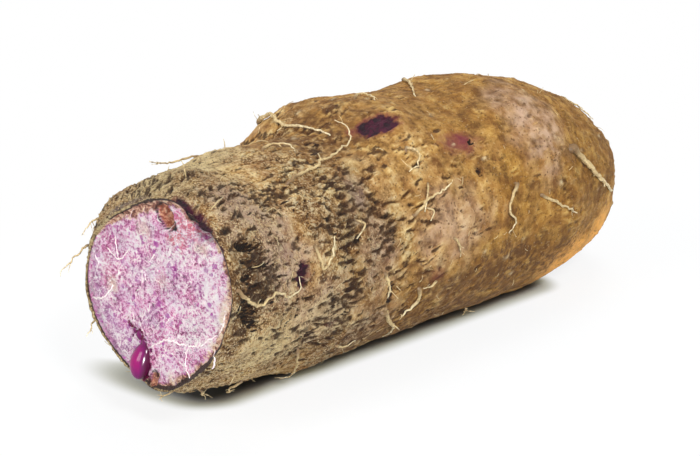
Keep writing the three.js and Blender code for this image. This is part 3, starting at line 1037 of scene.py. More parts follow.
class Sheet:
    """The tuber's whole surface as one sheet of rows and sides.

    Row 0 is the middle of the cut, the row called rim is its edge, and the rows after it go along the skin
    to the last, which is the far tip. Sides go around, packed closer where the skin is most seen. Skin rows
    start closer near the cut, and lie evenly over the round end, whose curve is end_arc long.
    """

    closer = 0.2
    facing = 55.0
    start = 0.82
    end_arc = 74.0

    def __init__(self, growth: Growth, cut_rows: int, skin_rows: int, sides: int) -> None:
        """Lays out the rows and sides.

        Args:
            growth: The line that the tuber grew along.
            cut_rows: The rows between the middle of the cut and its edge.
            skin_rows: The rows along the skin after the edge.
            sides: The sides around.
        """
        self.growth = growth
        self.rim = cut_rows + 1
        self.rows = self.rim + skin_rows + 1
        self.sides = sides
        even = np.arange(sides) / sides * 2 * math.pi - math.pi
        self.turn = np.degrees(even - self.closer * np.sin(even - math.radians(self.facing)))
        self.along = self.distances(skin_rows)
        self.place = np.zeros((self.rows, sides, 3))
        self.masks: dict[str, Array] = {}

    def distances(self, skin_rows: int) -> Array:
        """The distance along of each skin row, closest near the cut and even over the round end.

        Args:
            skin_rows: How many rows follow the first.

        Returns:
            The distances.
        """
        growth = self.growth
        share = np.arange(skin_rows + 1) / skin_rows
        arc = share * (self.start + (1 - self.start) * share) * (growth.far_shoulder + self.end_arc)
        quarter = np.clip((arc - growth.far_shoulder) / self.end_arc, 0, 1) * math.pi / 2
        ends = growth.far_shoulder + (growth.far_end - growth.far_shoulder) * np.sin(quarter)
        return np.where(arc < growth.far_shoulder, arc, ends)

    @property
    def skin(self) -> Array:
        """The skin's rows of the sheet, from the rim to the tip."""
        return self.place[self.rim :]

    @property
    def cut(self) -> Array:
        """The cut's rows of the sheet, from its middle to the rim."""
        return self.place[: self.rim + 1]

    @property
    def girth(self) -> Array:
        """The mean radius of each skin row."""
        middle = self.skin.mean(1, keepdims=True)
        return np.maximum(np.linalg.norm(self.skin - middle, axis=-1).mean(1), 2.0)

    def normals(self) -> Array:
        """The direction straight out of the surface everywhere.

        Returns:
            A vector of length 1 for each place.
        """
        ahead = np.gradient(self.place, axis=0)
        around = np.roll(self.place, -1, 1) - np.roll(self.place, 1, 1)
        out = unit(np.cross(around, ahead))
        out[0] = self.growth.cut_normal
        out[-1] = (1.0, 0.0, 0.0)
        return out

    def mark(self, name: str, values: Array, on_cut: bool = False) -> None:
        """Raises one of the masks to at least some values.

        Args:
            name: The mask's name.
            values: A value for each place of the skin or the cut, kept within 0 and 1.
            on_cut: Whether they belong to the cut.
        """
        whole = self.masks.setdefault(name, np.zeros((self.rows, self.sides)))
        part = whole[: self.rim + 1] if on_cut else whole[self.rim :]
        np.maximum(part, np.clip(values, 0, 1), out=part)

    def blank(self) -> Array:
        """A 0 for each skin place."""
        return np.zeros((len(self.along), self.sides))

    def oval(self, patch: Patch) -> Array:
        """How far each skin place is from a patch's middle, 1 being its edge."""
        arc = np.radians(turn_between(patch.second, self.turn))[None] * self.girth[:, None]
        return patch.distance(self.along[:, None] - patch.first, arc)

    def cut_oval(self, patch: Patch) -> Array:
        """How far each place of the cut is from a patch's middle, 1 being its edge."""
        flat = self.cut - self.growth.origin
        return patch.distance(flat[..., 1] - patch.first, flat[..., 2] - patch.second)

    def band(self, band: Band) -> Array:
        """How rough a band makes each skin place, 0 to 1.

        Args:
            band: The band.

        Returns:
            One value for each skin place.
        """
        turns, alongs = np.array(band.line).T
        line = np.interp(self.turn, turns, alongs)
        within = step(turns[0] - 14, turns[0], self.turn) * step(turns[-1] + 14, turns[-1], self.turn)
        return bell(self.along[:, None] - line[None], band.wide) * within[None] * band.weight

    def near(self, along: float, turn: float) -> tuple[int, int]:
        """The row and side nearest to a distance along and a turn."""
        row = self.rim + int(np.argmin(np.abs(self.along - along)))
        return row, int(np.argmin(np.abs(turn_between(turn, self.turn))))


# --- The tuber ---


@dataclass
class Tuber:
    """The tuber: one closed body with fissured skin and a cut face.

    It is blocked out as a cylinder, whose near cap is inset ring by ring and whose sides are cut into rings,
    then laid on the frame's solid, carved, painted and unwrapped. The rims are how wide the rind, the
    bruise, the crust and the peel are around the cut, by turn.
    """

    growth: Growth
    sides: int = 440
    skin_rows: int = 178
    cut_rows: int = 44
    rind_rows: int = 8
    rind_step: float = 0.28
    raw_radius: float = 30.0
    raw_step: float = 1.0
    raw_inset: float = 0.5
    cast_from: float = 90.0
    seed: int = 11
    soft_masks: tuple[str, ...] = ("violet", "cream", "blush", "grey", "pale")
    slits: int = 2500
    rung_gap: float = 2.6
    notch_turn: float = 37.0
    notch_reach: float = 22.0
    notch_fill: float = 1.03
    warts: int = 150
    dimples: int = 230
    belts: tuple[Band, ...] = (
        Band(((36, 55), (46, 54), (58, 53), (67, 50), (80, 48), (94, 48), (104, 47), (112, 46)), 4.2, 1.0),
        Band(((60, 65), (70, 69), (80, 66)), 2.6, 0.9), Band(((62, 41), (66, 43)), 2.0, 0.6),
        Band(((98, 41), (112, 36), (126, 34)), 4.0, 0.7),
        Band(((24, 50), (34, 40), (45, 34), (50, 22)), 3.4, 0.7), Band(((16, 66), (26, 54)), 4.0, 0.7),
        Band(((30, 78), (44, 76)), 3.0, 0.5), Band(((55, 136), (100, 150), (130, 160)), 5.0, 0.45),
        Band(((110, 62), (122, 84), (136, 96)), 5.0, 0.55), Band(((-60, 70), (-20, 70)), 4.5, 0.7),
        Band(((-160, 76), (-110, 79), (-75, 74)), 4.5, 0.9),
        Band(((-130, 34), (-90, 30), (-50, 38)), 4.5, 0.8), Band(((-110, 148), (-40, 146)), 4.5, 0.6),
        Band(((-150, 112), (-90, 118)), 4.0, 0.5), Band(((-60, 20), (-15, 16)), 4.0, 0.7),
    )
    rough_patches: tuple[Patch, ...] = patches(
        (28, 40, 18, 8, 0.9, 12), (12, 12, 12, 16, 0.62), (8, -22, 14, 20, 0.65), (9, 80, 7, 14),
        (22, 112, 18, 10, 0.5), (62, 60, 9, 12, 0.7), (72, 100, 14, 12, 0.5), (48, 80, 8, 20, 0.7),
        (10, -40, 9, 14, 0.7),
    )
    pale_patches: tuple[Patch, ...] = patches(
        (14, 40, 9, 9), (21, 70, 11, 11), (38, 102, 12, 10, 0.8), (60, 50, 5, 6, 0.8),
        (62, 80, 7, 12, 0.8), (92, 82, 16, 10, 0.6), (139, 46, 11, 15, 0.9), (60, 118, 12, 8, 0.5),
        (80, -70, 22, 16, 0.6), (30, -110, 16, 14, 0.7), (150, -90, 20, 16, 0.5),
    )
    # Soil patches; the long ones, low on the side towards -Y at turns 118 to 138, are painted shade near the
    # floor.
    soil_and_shade_patches: tuple[Patch, ...] = patches(
        (6, 78, 6, 14), (8, 6, 10, 16, 0.35), (49, 76, 5, 22, 0.4), (70, 104, 12, 7, 0.6),
        (160, 84, 14, 12, 0.6), (172, 60, 12, 10, 0.5), (66, 124, 34, 9), (120, 118, 42, 11),
        (72, 6, 20, 14), (58, 74, 20, 30, 0.5), (84, 108, 10, 7, 0.9, 20), (62, 112, 7, 5, 0.9),
        (100, 112, 7, 6, 0.9), (96, 138, 46, 11), (120, 20, 30, 10, 0.4),
    )
    # Folds sunk into the skin, their hollows painted dark as shade.
    folds: tuple[Patch, ...] = patches(
        (8.5, 60, 5.2, 1.7, 1.8, 21), (7, 66.5, 3.4, 0.6, 0.8, 15), (12, 71, 6.3, 0.6, 0.9, 7),
        (5, 73, 2, 1.5, 1.2), (7.8, 78.5, 3.2, 0.7, 0.9, 5), (19, 78, 2.6, 0.4, 0.5),
        (4, 83, 1.6, 1.6, 0.9), (6.5, 90, 4.2, 2.3, 2, 20), (9.5, 98, 3.6, 1.6, 1.5, 25),
        (13.5, 88, 2.6, 0.5, 0.6, 10), (27.2, 94, 0.5, 3.6, 0.7, -12), (30.5, 91, 2.4, 0.5, 0.7, 20),
        (25, 101, 0.5, 2.2, 0.5, 15), (43, 58, 2.4, 0.5, 0.7, 24), (111, 47, 1.2, 1),
        (108.2, 62, 1.2, 1.3, 0.9), (53, 71, 1.4, 1.2, 1.2), (67, 103, 1.6, 3.2, 1.4),
    )
    blots: tuple[Patch, ...] = patches(
        (106, 46, 8, 4.5, 0.75), (109, 45, 3.4, 3.2, 0.95), (78, 20, 2, 2.4, 0.6), (24, 68, 3, 3, 0.3),
        (85, 104, 3, 3, 0.3),
    )
    scrapes: tuple[Patch, ...] = patches(
        (1.5, -42, 1.5, 6, 0.8), (1, -24, 1.2, 5, 0.7), (60, 52, 3, 5, 0.35), (53, 60, 3, 3, 0.3),
    )
    # Where the painted glow lies, low towards the far end.
    painted_glows: tuple[Patch, ...] = patches(
        (160, 128, 16, 9), (178, 118, 10, 9, 0.9),
    )
    silvered: tuple[Patch, ...] = patches(
        (57, 50, 2.2, 3, 0.9), (62, 44, 1.6, 2.6, 0.5), (68, 36, 4, 3, 0.3), (40, 105, 12, 8, 0.55),
        (22, 114, 14, 9, 0.7), (6, 2, 8, 9, 0.5), (10, -14, 11, 10), (26, -4, 13, 9, 1, 10),
        (38, -16, 12, 9, 0.9),
    )
    rims: tuple[Table, ...] = (
        ((-170, 0.7), (-130, 0.15), (-60, 0.15), (-30, 0.3), (15, 0.4), (60, 0.8), (100, 0.7), (130, 1.2),
         (155, 1.3)),
        ((-160, 1.2), (-125, 1.7), (-90, 1.4), (-60, 1.2), (-40, 0.8), (10, 0.0), (90, 0.3), (150, 0.0)),
        ((-170, 2.0), (-150, 0.4), (-60, 0.9), (-45, 2.7), (-10, 2.9), (8, 1.6), (40, 1.8), (80, 2.0),
         (110, 2.4), (140, 2.6), (170, 2.6)),
        ((-150, 0.3), (-120, 0.5), (-60, 0.6), (-30, 0.3), (20, 0.0), (100, 0.0), (150, 0.3)),
    )
    scars: tuple[Patch, ...] = patches(
        (86, 24, 5.8, 3, 1, 14), (80.2, 23.5, 2, 2.1, 0.4), (29.2, 77, 1.8, 2.1), (27.6, 81, 1.6, 2.3),
        (42.4, 110, 1.3, 0.9, 0.6), (60, -96, 3.4, 1.5, 0.8, 10), (0.4, 24, 1.5, 4.6), (0.3, 36, 1.7, 5),
    )
    cut_marks: dict[str, tuple[Patch, ...]] = field(default_factory=lambda: {
        "violet": patches(
            (-12.7, 43.6, 2.2, 3.2, 0.8, 20), (-8, 33, 1.5, 2.2, 0.7), (-11.5, 21.5, 2.6, 1.6, 0.6),
            (0.7, 43, 3, 2.6, 0.35), (11, 48, 3, 3, 0.4), (-24, 40, 3, 2.4, 0.35), (9, 26, 4, 2.4, 0.35),
            (-17, 31, 2.6, 2.2, 0.4),
        ),
        "cream": patches(
            (-2.7, 55.7, 3.2, 1.6, 0.75), (-1, 50.3, 3.4, 2.6, 0.5), (-23, 50, 3, 1.8, 0.6),
            (-33, 35, 2.6, 8, 0.9, 10), (-30.5, 27, 3.2, 3.4, 0.75), (11, 33.8, 2.4, 2.2, 0.7),
            (8.2, 52.1, 1.5, 1.3, 0.9), (-16, 16.5, 4.5, 1.6, 0.4), (-9, 39, 2.4, 2, 0.4),
        ),
        "blush": patches(
            (-19, 55, 6, 4.4, 1, -10), (-13.5, 51.5, 3.8, 4.6, 1, -30), (4, 56, 4.5, 1.6, 0.6, 10),
            (-25.5, 54.5, 4, 2.5, 0.7, -30), (-6, 56.5, 2.4, 1.4, 0.4), (-32, 27, 3, 3, 0.35),
            (14, 37, 3, 5, 0.3),
        ),
        "wet": patches(
            (2.4, 25.2, 2.6, 0.8, 0.9, 24), (-0.9, 24, 2, 1.3), (-2.8, 22.2, 1.3, 1.5, 0.9),
            (-4, 15.8, 1.6, 3, 0.8, 20),
        ),
        "grey": patches(
            (16, 30, 5, 14, 0.3), (8, 20, 7, 5, 0.5), (2, 38, 4, 4, 0.4), (-6, 30, 3, 3, 0.35),
            (-18, 42, 4, 3, 0.3),
        ),
        "pale": patches(
            (-28, 38, 7, 11, 0.6), (-14, 48, 7, 5, 0.5), (-22, 30, 8, 4, 0.6), (4, 47, 6, 3, 0.4),
        ),
        "hollow": patches(
            (-9.2, 54.8, 2.4, 4, 1, -52), (-21, 56.2, 1.2, 1.3, 0.8), (-6.8, 14.2, 1.6, 2.6, 0.7, 40),
        ),
        # Small holes, painted dark as shade.
        "pit": patches(
            (8.2, 52.1, 0.5, 0.5), (-11.6, 50.2, 0.35, 0.35), (-11.6, 52.4, 1.1, 0.6, 0.9, -40),
            (-21, 56.4, 0.5, 0.5, 0.8), (-7.2, 15.6, 0.7, 0.8, 0.9),
        ),
        "stain": patches(
            (-22.5, 59.2, 5.5, 1.6, 1, 8), (-28.5, 57.2, 3.4, 1.6, 1, 42),
            (-31.6, 52.5, 0.9, 3.4, 0.9, 8), (-12.4, 52.6, 1.4, 0.7, 0.8, -50),
            (-6.6, 57.2, 0.6, 1.6, 0.5),
        ),
    })
    sheet: Sheet = field(init=False)
    surface: BVHTree = field(init=False)
    rough: Array = field(init=False)
    relief: Array = field(init=False)
    inwards: Array = field(init=False)
    sunk: Array = field(init=False)
    cut_relief: Array = field(init=False)

    def __post_init__(self) -> None:
        """Lays out the sheet."""
        self.sheet = Sheet(self.growth, self.cut_rows, self.skin_rows, self.sides)

    def build(self, skin: Material, flesh: Material) -> Object:
        """Makes the finished tuber.

        Args:
            skin: The skin's material.
            flesh: The cut face's material.

        Returns:
            The tuber's piece.
        """
        body = self.block_out()
        rows, sides = self.lattice(body)
        self.lay_on_frame()
        self.rough = self.roughness()
        self.carve_skin()
        self.carve_cut()
        self.raise_surface()
        reshape(body, self.sheet.place[rows, sides])
        for name, mask in self.sheet.masks.items():
            store(body, name, mask[rows, sides])
        for material in (skin, flesh):
            body.data.materials.append(material)
        for polygon in body.data.polygons:
            polygon.material_index = int(min(rows[vertex] for vertex in polygon.vertices) < self.sheet.rim)
        self.unwrap(body, rows, sides)
        self.surface = BVHTree.FromObject(body, bpy.context.evaluated_depsgraph_get())
        return settle(body, Slot.SKIN, ("tuber",))

    def block_out(self) -> Object:
        """Models the plain log that the tuber is shaped from.

        Returns:
            The log, along X, with the rows and sides of the sheet.
        """
        clear_selection()
        length = self.skin_rows * self.raw_step * MM
        bpy.ops.mesh.primitive_cylinder_add(
            vertices=self.sides, radius=self.raw_radius * MM, depth=length, rotation=(0, math.pi / 2, 0)
        )
        body = applied("yam_body")
        with edit_mode(body, "FACE"):
            select_only(body, "faces", lambda face: face.normal.x < -0.9)
            for _ in range(self.cut_rows):
                bpy.ops.mesh.inset(thickness=self.raw_inset * MM)
            bpy.ops.mesh.merge(type="CENTER")
        with edit_mode(body, "EDGE"):
            for parts in (2, self.skin_rows // 2):
                least = 0.9 * length
                select_only(body, "edges", lambda edge: np.ptp([end.co.x for end in edge.verts]) > least)
                bpy.ops.mesh.subdivide(number_cuts=parts - 1)
                length /= parts
            bpy.ops.mesh.select_mode(type="FACE")
            select_only(body, "faces", lambda face: len(face.verts) > 4)
            bpy.ops.mesh.merge(type="CENTER")
        return body

    def lattice(self, body: Object) -> tuple[Array, Array]:
        """The sheet's row and side of each of the log's vertices.

        Args:
            body: The log.

        Returns:
            The rows, and the sides.
        """
        raw = coordinates(body)
        radius = np.hypot(raw[:, 1], raw[:, 2])
        ahead = raw[:, 0] + self.skin_rows * self.raw_step / 2
        rim = self.cut_rows + 1
        inset = np.rint((self.raw_radius - radius) / self.raw_inset).astype(int)
        on_cut = (ahead < self.raw_step / 2) & (inset > 0)
        rows = rim + np.rint(ahead / self.raw_step).astype(int)
        rows[on_cut] = np.maximum(rim - inset[on_cut], 0)
        rows[on_cut & (radius < self.raw_inset)] = 0
        angle = np.arctan2(-raw[:, 1], raw[:, 2]) + math.pi
        sides = np.rint(angle / (2 * math.pi) * self.sides).astype(int) % self.sides
        return rows, sides

    def lay_on_frame(self) -> None:
        """Lays the sheet on the frame's solid, smoothing away its facets."""
        sheet, growth = self.sheet, self.growth
        solid = BVHTree.FromObject(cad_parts["tuber"], bpy.context.evaluated_depsgraph_get())
        turn = np.radians(sheet.turn)
        radius = sheet.blank()
        for row, along in enumerate(sheet.along[:-1]):
            at = np.array(max(along, 0.15))
            across, height = growth.middle(at)
            outer = self.section(at, across, height, np.full(sheet.sides, self.cast_from), turn)
            inner = self.section(at, across, height, np.zeros(sheet.sides), turn)
            for side in range(sheet.sides):
                way = Vector((inner[side] - outer[side]) * MM)
                hit, _, _, off = solid.ray_cast(Vector(outer[side] * MM), way.normalized())
                if hit is not None:
                    radius[row, side] = self.cast_from * (1 - off / way.length)
        radius = self.smoothed(radius)
        across, height = growth.middle(sheet.along)
        columns = (sheet.along[:, None], across[:, None], height[:, None])
        sheet.skin[:] = self.section(*columns, radius, turn[None])
        self.span_cut(solid)

    def section(self, along: Array, across: Array, height: Array, radius: Array, turn: Array) -> Array:
        """Points of sections at radii and turns from their middles.

        Args:
            along: The sections' distances along.
            across: How far across their middles are.
            height: Their middles' heights.
            radius: The points' radii.
            turn: The points' turns, in radians.

        Returns:
            The points, in millimetres.
        """
        side = across - radius * np.sin(turn)
        rise = height + self.growth.height_ratio * radius * np.cos(turn)
        return self.growth.leant(np.broadcast_to(along, side.shape), side, rise)

    def smoothed(self, radius: Array) -> Array:
        """The radii with their facets smoothed away, less so near the cut, where the wounds are small.

        Args:
            radius: The radius at each skin place.

        Returns:
            The smooth radii.
        """
        fine, soft = radius.copy(), radius.copy()
        for _ in range(3):
            fine = self.averaged(fine, 1, 2)
        for _ in range(6):
            soft = self.averaged(soft, 1, 4)
        share = step(2.0, 12.0, self.sheet.along)[:, None]
        notch = bell(turn_between(self.notch_turn, self.sheet.turn), self.notch_reach)[None] * (1 - share)
        filled = np.maximum(fine, self.averaged(self.averaged(fine, 1, 12), 1, 12) * self.notch_fill)
        fine = fine + (filled - fine) * notch
        return fine * (1 - share) + soft * share

    @staticmethod
    def averaged(values: Array, rows: int, sides: int) -> Array:
        """Values averaged with their neighbours some rows and sides away.

        Args:
            values: One value for each place.
            rows: How many rows away.
            sides: How many sides away.

        Returns:
            The averages.
        """
        padded = np.pad(values, ((rows, rows), (0, 0)), mode="edge")
        count = len(values)
        along = sum(padded[i : i + count] for i in range(2 * rows + 1)) / (2 * rows + 1)
        along[0], along[-1] = values[0], values[-1]
        return sum(np.roll(along, shift, 1) for shift in range(-sides, sides + 1)) / (2 * sides + 1)

    def span_cut(self, solid: BVHTree) -> None:
        """Spans the cut from its rim to its middle, with the frame's wounds in it.

        Args:
            solid: The frame's solid.
        """
        sheet, growth = self.sheet, self.growth
        rim = sheet.place[sheet.rim]
        across, height = growth.middle(np.array(0.0))
        centre = growth.on_cut(float(across), float(height))
        spoke = np.linalg.norm(rim - centre, axis=-1)
        steps = np.arange(sheet.rim, -1, -1)[:, None]
        share = np.maximum(steps - self.rind_rows, 0) / (sheet.rim - self.rind_rows)
        rind = np.minimum(steps, self.rind_rows) * self.rind_step
        self.inwards = rind + (spoke - rind) * share
        sheet.cut[:] = rim + (centre - rim) * (self.inwards / spoke)[..., None]
        normal = Vector(growth.cut_normal)
        ahead = 6.0
        self.sunk = np.zeros((sheet.rim + 1, sheet.sides))
        for row in range(sheet.rim):
            for side in range(0 if row else sheet.sides - 1, sheet.sides):
                start = Vector(sheet.place[row, side] * MM) + normal * ahead * MM
                hit, _, _, off = solid.ray_cast(start, -normal, 2 * ahead * MM)
                if hit is not None:
                    self.sunk[row, side] = max(0.0, off / MM - ahead)
        self.sunk = self.averaged(self.averaged(self.sunk, 1, 1), 1, 1)

    def roughness(self) -> Array:
        """How rough and fissured the skin is, 0 to 1.

        Returns:
            One value for each skin place.
        """
        sheet = self.sheet
        base = 0.34 - 0.2 * step(60, 120, sheet.along)[:, None] + np.zeros((1, sheet.sides))
        for band in self.belts:
            base = np.maximum(base, sheet.band(band))
        for patch in self.rough_patches:
            base = np.maximum(base, patch.weight * np.exp(-sheet.oval(patch) ** 2 * 0.8))
        drift = Noise(self.seed + 1)(sheet.skin, (11, 9, 9))
        return np.clip(base * (1 + 0.5 * drift), 0.05, 1.0)

    def draw_slits(self) -> Array:
        """Draws the slits, strewn where the skin is rough and laid like rungs along the bands.

        Returns:
            A row for each: its distance along, turn, length, width, depth, lean and how dark it is.
        """
        sheet = self.sheet
        random = np.random.default_rng(self.seed)
        area = self.rough**1.7 * sheet.girth[:, None] * np.gradient(sheet.along)[:, None]
        area = area * np.gradient(np.unwrap(np.radians(sheet.turn)))[None]
        chance = (area / area.sum()).ravel()
        picked = random.choice(chance.size, self.slits, p=chance)
        rows, sides = np.unravel_index(picked, area.shape)
        strewn = np.stack([
            sheet.along[rows] + random.uniform(-0.6, 0.6, self.slits),
            sheet.turn[sides] + random.uniform(-0.4, 0.4, self.slits),
            1.8 + 4.6 * random.random(self.slits) ** 2,
            random.uniform(0.32, 0.56, self.slits),
            random.uniform(0.2, 0.5, self.slits),
            random.normal(4.0, 12.0, self.slits),
            random.uniform(0.5, 1.0, self.slits),
        ])
        rungs = np.array([rung for band in self.belts for rung in self.rungs(band, random)]).T
        return np.concatenate([strewn, rungs], 1).T

    def rungs(self, band: Band, random: Random) -> Iterator[tuple[float, ...]]:
        """The slits of one band, stacked side by side around the tuber like the rungs of a ladder.

        Args:
            band: The band.
            random: What the slits are drawn by.

        Yields:
            For each slit what draw_slits gives for it.
        """
        turns, alongs = np.array(band.line, float).T
        turn = turns[0]
        while turn < turns[-1]:
            middle = float(np.interp(turn, turns, alongs))
            for column in (-1.0, 0.0, 1.0):
                if random.random() < 0.25 + 0.6 * band.weight - 0.2 * abs(column):
                    yield (
                        middle + column * band.wide * 0.85 + random.normal(0, 0.7),
                        turn + random.uniform(-1.2, 1.2),
                        random.uniform(2.4, 4.4),
                        random.uniform(0.42, 0.66),
                        random.uniform(0.4, 0.75) * (0.5 + 0.5 * band.weight),
                        random.normal(5.0, 9.0),
                        random.uniform(0.5, 1.0),
                    )
            turn += math.degrees(self.rung_gap / 33.0) * random.uniform(0.75, 1.25)

    def stamp(self, slits: Array) -> tuple[Array, Array, Array]:
        """Presses slits into the skin.

        Args:
            slits: The slits, each of which has a raised lip.

        Returns:
            The depth of the slits and the height of their lips, in millimetres, and how dark they are.
        """
        sheet = self.sheet
        depth, lip, shade = sheet.blank(), sheet.blank(), sheet.blank()
        girth = sheet.girth
        wave = 0.7 * Noise(33)(sheet.skin, (3.0, 2.4, 2.4)) + 0.3 * Noise(34)(sheet.skin, (1.3, 1.1, 1.1))
        for along, turn, length, width, deep, lean, dark in slits:
            half, lean = length / 2, math.radians(lean)
            first, last = np.searchsorted(sheet.along, (along - half - 0.8, along + half + 0.8))
            if last - first < 2:
                continue
            rows = np.arange(first, last)
            arc = np.radians(turn_between(turn, sheet.turn)) * girth[rows].mean()
            sides = np.nonzero(np.abs(arc) < half * 0.5 + 5 * width)[0]
            window = np.ix_(rows, sides)
            ahead = (sheet.along[rows] - along)[:, None]
            across = arc[sides][None] + wave[window]
            run = (ahead * math.cos(lean) + across * math.sin(lean)) / half
            off = np.abs(across * math.cos(lean) - ahead * math.sin(lean)) / width
            body = np.maximum(0.0, 1.0 - run**2) ** 0.7
            shapes = ((depth, deep, 0.0, 1.0), (lip, deep, 2.0, 0.8), (shade, dark, 0.0, 1.15))
            for kept, high, apart, reach in shapes:
                kept[window] = np.maximum(kept[window], high * body * bell(off - apart, reach))
        return depth, lip, shade

    def carve_skin(self) -> None:
        """Works out the skin's relief and masks."""
        sheet = self.sheet
        place = sheet.skin
        far = step(70, 130, sheet.along)[:, None]
        depth, lip, shade = self.stamp(self.draw_slits())
        relief = 0.75 * Noise(1)(place, (19, 13, 13)) + 0.42 * Noise(2)(place, (8, 6, 6))
        ridged = 1.0 - np.abs(Noise(3)(place, (6.0, 1.5, 1.5)))
        relief += 0.28 * ridged**2 * (0.4 + self.rough)
        relief += 0.14 * Noise(4)(place, (1.9, 7, 7)) * (0.3 + self.rough)
        relief += 0.14 * Noise(5)(place, (1.6, 1.2, 1.2))
        relief += (0.9 * lip - 1.3 * depth) * (1 - 0.35 * far)
        belted = np.max([sheet.band(band) for band in self.belts], 0)
        sheet.mark("slit", shade * (1 - 0.45 * far))
        sheet.mark("painted_ridge_highlight", step(0.1, 0.4, lip) * (1 - shade))
        sheet.mark("rough", self.rough)
        sheet.mark("rung", belted * (0.75 + 0.5 * Noise(7)(place, (9, 4, 4))))
        sheet.mark("pale", self.clouded(self.pale_patches, 21))
        sheet.mark("soil_and_shade", self.clouded(self.soil_and_shade_patches, 22))
        self.relief = relief + self.press_dimples() + self.raise_warts() + self.wound_skin()

    def clouded(self, group: tuple[Patch, ...], seed: int) -> Array:
        """Soft patches with cloudy edges, laid over each other."""
        cloud = 0.45 * Noise(seed)(self.sheet.skin, (6, 5, 5))
        return spread(group, self.sheet.oval, (1.5, 0.4), cloud)

    @staticmethod
    def scattered(count: int, seed: int, low: float, high: float) -> Iterator[tuple[float, float]]:
        """The distances along and turns of places scattered over the skin between two distances."""
        random = np.random.default_rng(seed)
        return zip(random.uniform(low, high, count), random.uniform(-180, 180, count))

    def press_dimples(self) -> Array:
        """Soft shallow dimples, with painted shade darker in the middle, mostly on the far half.

        Returns:
            Their relief.
        """
        sheet = self.sheet
        random = np.random.default_rng(self.seed + 5)
        relief, shade = sheet.blank(), sheet.blank()
        for along, turn in self.scattered(self.dimples, self.seed + 6, 60, 203):
            long, wide = random.uniform(1.2, 2.8), random.uniform(0.8, 1.6)
            hollow = bell(sheet.oval(Patch(along, turn, long, wide, lean=random.normal(0, 25))), 1.0)
            relief -= random.uniform(0.15, 0.45) * hollow
            shade = np.maximum(shade, hollow * random.uniform(0.4, 1.0))
        # The dimples' painted shade goes into the soil and shade mask.
        sheet.mark("soil_and_shade", shade)
        return relief

    def raise_warts(self) -> Array:
        """Small raised warts with pale tops, where rootlets have broken off.

        Returns:
            Their relief.
        """
        sheet = self.sheet
        random = np.random.default_rng(self.seed + 7)
        relief = sheet.blank()
        for along, turn in self.scattered(self.warts, self.seed + 8, 3, 205):
            size = random.uniform(0.5, 1.1)
            distance = sheet.oval(Patch(along, turn, size * 1.2, size))
            relief += random.uniform(0.2, 0.5) * bell(distance, 1.0) - 0.12 * bell(distance - 1.8, 0.6)
            sheet.mark("soil_and_shade", 0.8 * bell(distance - 1.5, 0.5))
            sheet.mark("scab", bell(distance, 0.6) * random.uniform(0.2, 0.85))
        return relief

    def wound_skin(self) -> Array:
        """Scars, gashes, folds painted black as shade, stained places and other patches, among them a
        painted glow.

        Returns:
            Their relief.
        """
        sheet = self.sheet
        relief = sheet.blank()
        ragged = 0.3 * Noise(31)(sheet.skin, (2.2, 1.6, 1.6)) + 0.15 * Noise(32)(sheet.skin, (0.9, 0.7, 0.7))
        for name, edge, core, fray, group in (
            ("stain_edge", 1.3, 0.3, 1.0, self.blots),
            ("grey", 1.4, 0.5, 1.6, self.scrapes),
            # Next, the patches of the painted glow.
            ("painted_glow", 1.5, 0.3, 1.0, self.painted_glows),
            ("silver", 1.4, 0.4, 1.4, self.silvered),
        ):
            sheet.mark(name, spread(group, sheet.oval, (edge, core), fray * ragged))
        for scar in self.scars:
            distance = sheet.oval(scar) + ragged
            inside = step(1.1, 0.9, distance)
            relief += -0.7 * scar.weight * inside + 0.25 * bell(distance - 1.35, 0.3)
            sheet.mark("stain", inside * scar.weight)
            sheet.mark("stain_edge", 0.6 * scar.weight * step(1.32, 1.05, distance))
        # Each fold is sunk, and painted dark as shade through the pit mask.
        for fold in self.folds:
            inside = step(1.25, 0.35, sheet.oval(fold) + 0.7 * ragged)
            relief -= fold.weight * inside
            sheet.mark("pit", inside * min(1.0, 0.55 + 0.3 * fold.weight))
        sheet.mark("soil_and_shade", 0.5 * bell(sheet.along[:, None] - 1.0, 1.6))
        return relief

    def carve_cut(self) -> None:
        """Works out the relief and masks of the cut face."""
        sheet = self.sheet
        place = sheet.cut
        inwards = self.inwards
        wobble = 0.35 * Noise(41)(place, (2.5, 2.5, 2.5)) + 0.2 * Noise(42)(place, (0.9, 0.9, 0.9))
        tables = (np.array(table).T for table in self.rims)
        rind, bruise, crust, peel = (np.interp(sheet.turn[None], *table, period=360.0) for table in tables)
        inside_peel = np.maximum(inwards - peel, 0.0)
        masks = {
            "peel": step(1.2, 0.8, inwards / np.maximum(peel, 0.05) + 0.5 * wobble) * step(0.1, 0.25, peel),
            "rind": step(1.25, 0.75, inside_peel / rind + wobble),
            "crust": step(1.5, 0.5, inwards / np.maximum(crust, 0.1) + 1.6 * wobble) * 0.85,
            "bruise": step(1.8, 0.4, inwards / np.maximum(bruise, 0.1) + 1.5 * wobble) * 0.5,
        }
        for name, group in self.cut_marks.items():
            ends = (1.35, 0.3) if name in self.soft_masks else (1.1, 0.8)
            masks[name] = spread(group, sheet.cut_oval, ends, wobble * 0.9)
        hollows = [sheet.cut_oval(patch) + wobble * 0.9 for patch in self.cut_marks["hollow"]]
